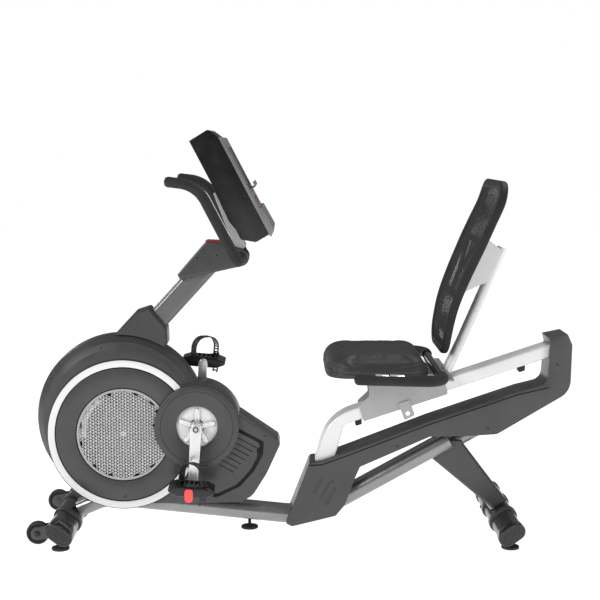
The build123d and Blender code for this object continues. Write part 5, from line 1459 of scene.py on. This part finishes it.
        both_sides(Shape.sweep("seat_grip_left", path, section, grow=tip), "seat", "foam", FOAM,
                   ["seat_handle_grips"], angle=50)
        slope = (z - self.grip_z) / (self.cross_x - 146.0)
        plates = []
        for low, high in ((207.0, 244.0), (248.0, 290.0)):
            arc = [math.radians(a) for a in range(54, 171, 4)]
            ring = ([((outer + 0.9) * math.cos(a), (outer + 0.9) * math.sin(a)) for a in arc]
                    + [((outer - 1) * math.cos(a), (outer - 1) * math.sin(a)) for a in reversed(arc)])
            run = [Vector((x, -self.grip_plane, self.grip_z + slope * (x - 146.0)))
                   for x in (low, low + 1.2, high - 1.2, high)]
            plates.append(Shape.sweep("plate", run, ring, side=lambda _: Vector((0, -1, 0)),
                                      grow=lambda s, span=high - low: 0.975 if s < 0.5 or s > span - 0.5
                                      else 1.0))
        both_sides(Shape.join("sensor_plate_left", plates), "seat", "console_silver", CRANK_METAL, [],
                   angle=40)


@dataclass
class Backrest:
    """Moulded frame of the backrest and the mesh stretched in it."""

    spine: tuple[Vec2, ...] = ((423.0, 562.0), (431.0, 636.0), (448.0, 715.0), (476.0, 792.0), (510.0, 871.0),
                               (549.0, 958.0), (577.0, 1021.0), (592.0, 1084.0))
    half: float = 200.0
    bar: float = 28.0
    depth: float = 24.0
    top: float = 1083.0
    bottom: float = 566.0
    bands: tuple[float, float] = (905.0, 742.0)

    def centre(self, z: float) -> tuple[float, float]:
        """X place and slope dX/dZ of the centreline at a height, by a Catmull-Rom curve."""
        spots = self.spine
        index = max(0, min(len(spots) - 2, sum(1 for _, height in spots[1:-1] if height <= z)))
        (x0, z0), (x1, z1) = spots[index], spots[index + 1]
        before, after = spots[max(0, index - 1)], spots[min(len(spots) - 1, index + 2)]
        m0 = (x1 - before[0]) / (z1 - before[1])
        m1 = (after[0] - x0) / (after[1] - z0)
        run, t = z1 - z0, (z - z0) / (z1 - z0)
        x = ((2 * t ** 3 - 3 * t ** 2 + 1) * x0 + (t ** 3 - 2 * t ** 2 + t) * run * m0
             + (-2 * t ** 3 + 3 * t ** 2) * x1 + (t ** 3 - t ** 2) * run * m1)
        slope = ((6 * t ** 2 - 6 * t) * x0 + (3 * t ** 2 - 4 * t + 1) * run * m0
                 + (6 * t - 6 * t ** 2) * x1 + (3 * t ** 2 - 2 * t) * run * m1) / run
        return x, slope

    def surface(self, y: float, z: float, out: float = 0.0) -> Vector:
        """Point on the curved sheet, a distance towards the rider's back."""
        x, slope = self.centre(z)
        normal = Vector((-1, 0, slope)).normalized()
        return Vector((x, y, z)) + normal * out

    def window(self, shrink: float) -> list[Vec2]:
        """Front outline, drawn in by a margin, as (y, z)."""
        w, top, low = self.half + 14 - shrink, self.top - shrink, self.bottom + shrink
        return Shape.rounded([(-w + 14, top, 70 - shrink), (w - 14, top, 70 - shrink), (w, 900, 200),
                              (w - 52, low, 60), (-w + 52, low, 60), (-w, 900, 200)], 5)

    @staticmethod
    def bar_section(width: float, depth: float, soft: float) -> list[Vec2]:
        """Rounded rectangle section."""
        w, d = width / 2, depth / 2
        return Shape.rounded([(-w, -d, soft), (w, -d, soft), (w, d, soft), (-w, d, soft)], 15)

    def strip(self, name: str, points: Sequence[Vec2], width: float, depth: float, soft: float,
              closed: bool = False) -> bpy.types.Object:
        """Bar that follows the curved sheet through (y, z) points."""
        dense: list[Vec2] = []
        count = len(points)
        for index in range(count if closed else count - 1):
            one, two = Vector(points[index]), Vector(points[(index + 1) % count])
            steps = max(1, math.ceil((two - one).length / 10))
            dense += [tuple(one.lerp(two, k / steps)) for k in range(steps)]
        if not closed:
            dense.append(points[-1])
        path = [self.surface(y, z) for y, z in dense]

        def across(index: int) -> Vector:
            """Sideways direction within the sheet."""
            ahead = path[(index + 1) % len(path)] if closed or index < len(path) - 1 else path[index]
            behind = path[index - 1] if closed or index else path[index]
            _, slope = self.centre(dense[index][1])
            return (ahead - behind).normalized().cross(Vector((-1, 0, slope)).normalized())

        return Shape.sweep(name, path, self.bar_section(width, depth, soft), closed, across)

    def build(self) -> None:
        """Makes the frame with its bands and brace, then the mesh."""
        made = self.strip("backrest_shell", self.window(self.bar / 2), self.bar, self.depth, 9, closed=True)
        upper, lower = self.bands
        w = self.half - 12
        parts = [self.strip("band", [(-w, upper), (w, upper)], 20, 10, 4),
                 self.strip("band", [(-w + 15, lower), (w - 15, lower)], 20, 10, 4),
                 self.strip("brace", [(-120, upper), (-14, 820)], 26, 10, 4),
                 self.strip("brace", [(120, upper), (14, 820)], 26, 10, 4),
                 self.strip("brace", [(0, 832), (0, lower)], 34, 10, 4)]
        Shape.combine(made, parts, "UNION")
        place(made, "seat", "black_plastic", MATT_BLACK, "backrest_frame", angle=40)
        self.mesh()

    def width_at(self, z: float, outline: Sequence[Vec2]) -> float:
        """Half width of an outline at a height."""
        reach = 0.0
        for (y0, z0), (y1, z1) in zip(outline, [*outline[1:], outline[0]]):
            if (z0 - z) * (z1 - z) <= 0 and z0 != z1:
                reach = max(reach, abs(y0 + (y1 - y0) * (z - z0) / (z1 - z0)))
        return reach

    def mesh(self) -> None:
        """Stretched fabric in front of the bands, tucked into the frame all round."""
        tuck, lift, columns, rows = 3.0, 6.4, 56, 72
        outline = self.window(self.bar - tuck)
        low, high = self.bottom + self.bar - tuck + 0.5, self.top - self.bar + tuck - 0.5
        data = bmesh.new()
        grid = []
        for j in range(rows + 1):
            share = 0.5 - 0.5 * math.cos(math.pi * j / rows)
            z = low + (high - low) * share
            reach = self.width_at(z, outline)
            row = []
            for i in range(columns + 1):
                u = 2 * i / columns - 1
                sag = 3.0 * (1 - u * u) * math.sin(math.pi * share)
                row.append(data.verts.new(self.surface(reach * u, z, lift - sag * 0.3) * MM))
            grid.append(row)
        for one, two in zip(grid, grid[1:]):
            for k in range(columns):
                data.faces.new((one[k], one[k + 1], two[k + 1], two[k]))
        made = Shape.from_bmesh("back_fabric", data)
        thick = made.modifiers.new("thick", "SOLIDIFY")
        thick.thickness, thick.offset = 1.0 * MM, 0
        Shape.settle(made)
        place(made, "seat", "mesh", MESH, "backrest_mesh", angle=60)


# ---- floor end pieces -------------------------------------------------------------------------
@dataclass
class Running:
    """End caps, wheel forks, transport wheels, levelling feet and collars."""

    bars: tuple[tuple[float, float, float], ...] = ((-716.0, 51.0, -37.0), (616.0, 48.0, 37.0))
    width: float = 80.0
    height: float = 45.0
    wall: float = 3.0
    half_length: float = 250.0
    wheel: Vec2 = (-788.0, 41.0)
    wheel_radius: float = 34.0
    wheel_plane: float = 184.0
    wheel_width: float = 24.0
    fork: float = 4.0
    foot_plane: float = 220.0
    foot_radius: float = 26.5
    foot_height: float = 9.0
    middle_foot: float = -163.0
    collar_plane: float = 78.0
    collar_width: float = 30.0
    collar_wall: float = 6.0
    ribs: int = 7

    def oval(self, bar: tuple[float, float, float], grow: float) -> list[Vec2]:
        """Oval section of a stabilizer, grown by a wall."""
        x, z, tilt = bar
        reach = (self.width - self.height) / 2
        return Shape.slot(along((x, z), tilt + 180, reach), along((x, z), tilt, reach), self.height
                          + 2 * grow, 20)

    def build(self) -> None:
        """Makes every piece at floor level that is refined here."""
        caps = []
        for bar in self.bars:
            front = bar[0] < 0
            caps.append(self.cap(bar, 160.0 if front else self.half_length - 34))
            if front:
                caps.append(self.forks(bar))
        both_sides(Shape.join("end_caps_left", caps), "frame", "black_plastic", None, ["stabilizer_end_caps"])
        self.collars()
        self.wheels()
        self.feet()

    def cap(self, bar: tuple[float, float, float], inner: float) -> bpy.types.Object:
        """Sleeve with a ribbed end face."""
        end = self.half_length + self.wall
        cap = Shape.prism("cap", self.oval(bar, self.wall), -end, -inner, 2.6, 3)
        bore = Shape.prism("bore", self.oval(bar, 0.0), -self.half_length, -inner + 5)
        face = Shape.prism("face", self.oval(bar, -5.0), -end - 3, -end + 1.6, 0.7, 1)
        Shape.combine(cap, [bore, face])
        cap.data.materials.append(SLEEVE_PLASTIC.material())
        x, z, tilt = bar
        points: list[Vec3] = []
        turns: list[Vec3] = []
        for k in range(self.ribs):
            u = (k - (self.ribs - 1) / 2) * 8.6
            spot = along((x, z), tilt, u)
            points.append((spot[0], -end + 1.0, spot[1]))
            turns.append((0.0, -tilt - 62.0, 0.0))
        rib = Shape.prism("rib", Shape.slot((-13, 0), (13, 0), 2.6, 6), -0.9, 0.9, 0.4, 2)
        return Shape.join("cap", [cap, PATTERN.repeat("ribs", rib, points, BLACK_PLASTIC, turns)])

    def forks(self, bar: tuple[float, float, float]) -> bpy.types.Object:
        """Two cheeks that carry a transport wheel."""
        inner = self.wheel_plane - self.wheel_width / 2 - 1
        outer = self.wheel_plane + self.wheel_width / 2 + 1
        outline = Shape.hull((bar[0] - 4, bar[1] + 2, 20), (*self.wheel, 20))
        made = []
        for low, high in ((inner - self.fork, inner), (outer, outer + self.fork)):
            cheek = Shape.prism("cheek", outline, -high, -low, 1.2, 3)
            room = Shape.prism("room", self.oval(bar, 1.2), -high - 5, -low + 5)
            bore = Shape.lathe("bore", self.wheel,
                               [(0, -high - 5), (4.1, -high - 5), (4.1, -low + 5), (0, -low + 5)], 32)
            made.append(Shape.combine(cheek, [room, bore]))
        fork = Shape.join("fork", made)
        fork.data.materials.append(DARK_PLASTIC.material())
        return fork

    def collars(self) -> None:
        """C-shaped collars beside the frame."""
        made = []
        for bar in self.bars:
            low, high = -self.collar_plane - self.collar_width / 2, -self.collar_plane + self.collar_width / 2
            band = Shape.prism("collar", self.oval(bar, self.collar_wall), low, high, 2.4, 3)
            made.append(Shape.combine(band, [Shape.prism("bore", self.oval(bar, 0.02), low - 5, high + 5)]))
        both_sides(Shape.join("collars_left", made), "frame", "dark_plastic", DARK_PLASTIC,
                   ["stabilizer_collars"])

    def wheels(self) -> None:
        """Wheels with a treaded rim and a dished web."""
        y, w, r = self.wheel_plane, self.wheel_width / 2, self.wheel_radius
        profile = [(4.1, y - w + 1), (10, y - w + 1), (10.6, y - w + 4), (r - 9, y - w + 4),
                   (r - 8, y - w + 0.6),
                   (r - 3.5, y - w), (r - 0.8, y - w + 1.4), (r, y - w + 4), (r, y - 2.2), (r - 1.6, y - 1),
                   (r - 1.6, y + 1), (r, y + 2.2), (r, y + w - 4), (r - 0.8, y + w - 1.4), (r - 3.5, y + w),
                   (r - 8, y + w - 0.6), (r - 9, y + w - 4), (10.6, y + w - 4), (10, y + w - 1),
                   (4.1, y + w - 1)]
        wheel = Shape.lathe("wheel_left", self.wheel, [(radius, -across) for radius, across in profile], 72)
        both_sides(wheel, "wheel_left", "rubber", RUBBER, ["transport_wheel_left"], ["transport_wheel_right"],
                   far_body="wheel_right")

    def feet(self) -> None:
        """Round pads with a gripped rim and a threaded stud."""
        r, h = self.foot_radius, self.foot_height
        spots = {"foot_front_left": (self.bars[0][0], -self.foot_plane),
                 "foot_middle": (self.middle_foot, 0.0),
                 "foot_front_right": (self.bars[0][0], self.foot_plane),
                 "foot_rear_left": (self.bars[1][0], -self.foot_plane),
                 "foot_rear_right": (self.bars[1][0], self.foot_plane)}
        for name, (x, y) in spots.items():
            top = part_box(name)[1].z / MM
            profile = [(0, 0.0), (r - 1.5, 0.0), (r, 1.2), (r, h - 4), (r - 0.8, h - 1.8), (r - 3, h - 0.8),
                       (12, h), (11, h + 0.02), (9.5, h + 0.02), (5.2, h + 0.02)]
            turns = int((top - h - 2) / 1.5)
            for k in range(turns):
                z = h + 1.5 * k
                profile += [(5.0, z + 0.4), (4.5, z + 1.1)]
            profile += [(4.4, top - 1), (0, top - 1)]
            pad = Shape.lathe("pad", (0, 0), [(radius, z) for radius, z in profile], 56)
            pad.data.transform(Matrix.Translation(Vector((x, y, 0)) * MM) @ Matrix.Rotation(math.pi / 2, 4,
                                                                                            "X"))
            pad.name = name.replace("foot", "pad")
            place(pad, name, "rubber", RUBBER, name, angle=38)


# ---- fasteners and CAD finishes ---------------------------------------------------------------
@dataclass
class Fasteners:
    """Countersunk cross-head screws and wheel bolts."""

    radius: float = 5.0
    band_screws: tuple[Corner, ...] = ((-781.0, 385.0, 48.2), (-611.0, 573.0, 53.6), (-348.0, 491.0, 47.2))
    flat_screws: tuple[Corner, ...] = ((-112.0, 302.0, 56.0), (-261.0, 112.0, 56.0), (-542.0, 116.0, 63.0),
                                       (-260.0, 854.0, 40.0), (-319.0, 847.0, 40.0), (94.0, 160.0, 60.0),
                                       (292.0, 271.0, 60.0), (569.0, 325.0, 60.0), (778.0, 522.0, 60.0))
    wheel: Vec2 = (-788.0, 41.0)
    wheel_reach: float = 201.0

    def build(self) -> None:
        """Makes every fastener on both sides."""
        r = self.radius
        head = Shape.lathe("head", (0, 0), [(0, 1.2), (r * 0.6, 1.2), (r, 0.2), (r, -0.5), (r - 0.7, -0.9),
                                            (1.9, -1.0),
                                            (1.6, 0.4), (0, 0.6)], 28)
        points = [(x, -face, z) for x, z, face in (*self.band_screws, *self.flat_screws)]
        screws = PATTERN.repeat("screws_left", head, points, BLACK_PAINT)
        reach = self.wheel_reach
        bolt = Shape.lathe("bolt", self.wheel, [(0, -reach - 5), (3, -reach - 5), (3.4, -reach - 2.5),
                                                (5.6, -reach - 3),
                                                (7, -reach - 5), (8, -reach - 4), (8.4, -reach - 0.5),
                                                (4, -reach),
                                                (4, -167), (8, -167), (8, -162), (0, -162)], 40)
        bolt.data.materials.append(BLACK_PAINT.material())
        both_sides(Shape.join("fasteners_left", [screws, bolt]), "frame", "black_paint", None, ["fasteners"])


class CadFinishes:
    """Gives the CAD nodes that stay in view their finishes."""

    # Region inside the drive housing whose frame faces get painted shade.
    PAINTED_SHADE_X = (-0.80, -0.36)
    PAINTED_SHADE_ABOVE = 0.14
    FINISHES = {
        FRAME_PAINT: ("main_frame",),
        PLATE_PAINT: ("front_stabilizer", "rear_stabilizer", "seat_handle"),
        SHEET_METAL: ("console_bracket", "seat_carriage"),
        MAST_PAINT: ("mast_tube",),
        BLACK_PAINT: ("handlebar", "seat_lever"),
        RAIL_METAL: ("seat_rail", "back_support"),
        STEEL: ("crank_axle", "crank_bearings", "flywheel_axle", "flywheel_pulley", "idler_pulley",
                "brake_yoke"),
        IRON: ("flywheel",),
        RUBBER: ("drive_belt", "rail_stops"),
        BLACK_PLASTIC: ("drive_pulley",),
        SILVER: ("console_key_down", "console_key_up"),
        RED: ("console_key_start",),
    }

    def build(self) -> None:
        """Assigns every finish."""
        for finish, names in self.FINISHES.items():
            for name in names:
                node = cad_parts[name]
                if not node.material_slots:
                    node.data.materials.append(None)
                for slot in node.material_slots:
                    slot.material = finish.material()
        self.paint_shade_inside_housing()

    def paint_shade_inside_housing(self) -> None:
        """Painted shade: matt black on the main frame's upright plates inside the drive housing, where the
        housing shades them.
        """
        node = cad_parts["main_frame"]
        node.data.materials.append(MATT_BLACK.material())
        last = len(node.material_slots) - 1
        for face in node.data.polygons:
            spot = node.matrix_world @ face.center
            if self.PAINTED_SHADE_X[0] < spot.x < self.PAINTED_SHADE_X[1] and spot.z > self.PAINTED_SHADE_ABOVE:
                face.material_index = last


# ---- studio -----------------------------------------------------------------------------------
@dataclass
class Studio:
    """Pale floor, soft lights, white surround and the camera."""

    camera_at: Vec3 = (-0.045, -4.05, 1.188)
    pitch: float = 6.647
    yaw: float = 0.556
    lens: float = 79.8
    surround_light: float = 0.16
    floor_glow: float = 0.95

    def build(self) -> None:
        """Makes the floor, lights, surround and camera."""
        scene = bpy.context.scene
        scene.view_settings.view_transform = "Standard"
        data = bpy.data.meshes.new("floor")
        data.from_pydata([(-14, -10, -0.0005), (14, -10, -0.0005), (14, 14, -0.0005), (-14, 14, -0.0005)], [],
                         [(0, 1, 2, 3)])
        floor = bpy.data.objects.new("floor", data)
        scene.collection.objects.link(floor)
        paint = Finish("floor", (0.55, 0.55, 0.55), 0.85, texture=Texture.SMOOTH, relief=0.0, mottle=0.01,
                       wear=0.0,
                       glow=self.floor_glow)
        data.materials.append(paint.material())
        lamps = [self.lamp("key", (-3.0, -2.6, 2.6), 1.6, 105.0),
                 self.lamp("fill", (3.2, -2.6, 1.4), 1.6, 48.0),
                 self.lamp("top", (1.1, 0.5, 2.8), 0.8, 26.0), self.lamp("rim", (-2.8, 2.0, 2.2), 1.0, 20.0)]
        self.surround(scene)
        self.camera(scene)

    @staticmethod
    def lamp(name: str, spot: Vec3, size: float, power: float) -> bpy.types.Object:
        """Soft area light aimed at the machine.

        Args:
            name: Light name.
            spot: Place in metres.
            size: Side in metres.
            power: Watts.

        Returns:
            The light.
        """
        light = bpy.data.lights.new(name, "AREA")
        light.size, light.energy = size, power
        made = bpy.data.objects.new(name, light)
        bpy.context.scene.collection.objects.link(made)
        made.location = spot
        made.rotation_euler = (Vector((0, 0, 0.5)) - Vector(spot)).to_track_quat("-Z", "Y").to_euler()
        return made

    def surround(self, scene: bpy.types.Scene) -> None:
        """White surround that lights the scene less than it shows."""
        world = bpy.data.worlds.new("surround")
        world.use_nodes = True
        tree = world.node_tree
        shown = tree.nodes["Background"]
        shown.inputs["Color"].default_value = (1, 1, 1, 1)
        shown.inputs["Strength"].default_value = 1.0
        lighting = tree.nodes.new("ShaderNodeBackground")
        lighting.inputs["Color"].default_value = (1, 1, 1, 1)
        lighting.inputs["Strength"].default_value = self.surround_light
        rays, mix = tree.nodes.new("ShaderNodeLightPath"), tree.nodes.new("ShaderNodeMixShader")
        tree.links.new(rays.outputs["Is Camera Ray"], mix.inputs["Fac"])
        tree.links.new(lighting.outputs["Background"], mix.inputs[1])
        tree.links.new(shown.outputs["Background"], mix.inputs[2])
        tree.links.new(mix.outputs["Shader"], tree.nodes["World Output"].inputs["Surface"])
        scene.world = world

    def camera(self, scene: bpy.types.Scene) -> None:
        """Camera on the rider's left."""
        data = bpy.data.cameras.new("camera")
        data.lens, data.sensor_width = self.lens, 36.0
        made = bpy.data.objects.new("camera", data)
        scene.collection.objects.link(made)
        made.location = self.camera_at
        made.rotation_euler = (math.radians(90 - self.pitch), 0.0, -math.radians(self.yaw))
        scene.camera = made


def main() -> None:
    """Builds the whole machine and its surroundings."""
    logging.basicConfig(level=logging.INFO, format="%(name)s %(message)s")
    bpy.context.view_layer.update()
    CadFinishes().build()
    for assembly in (DriveHousing(), Crank(), Mast(), Console(), RearCasing(), Seat(), Backrest(), Running(),
                     Fasteners()):
        LOG.info("building %s", type(assembly).__name__)
        assembly.build()
    Studio().build()


if __name__ == "__main__":
    main()
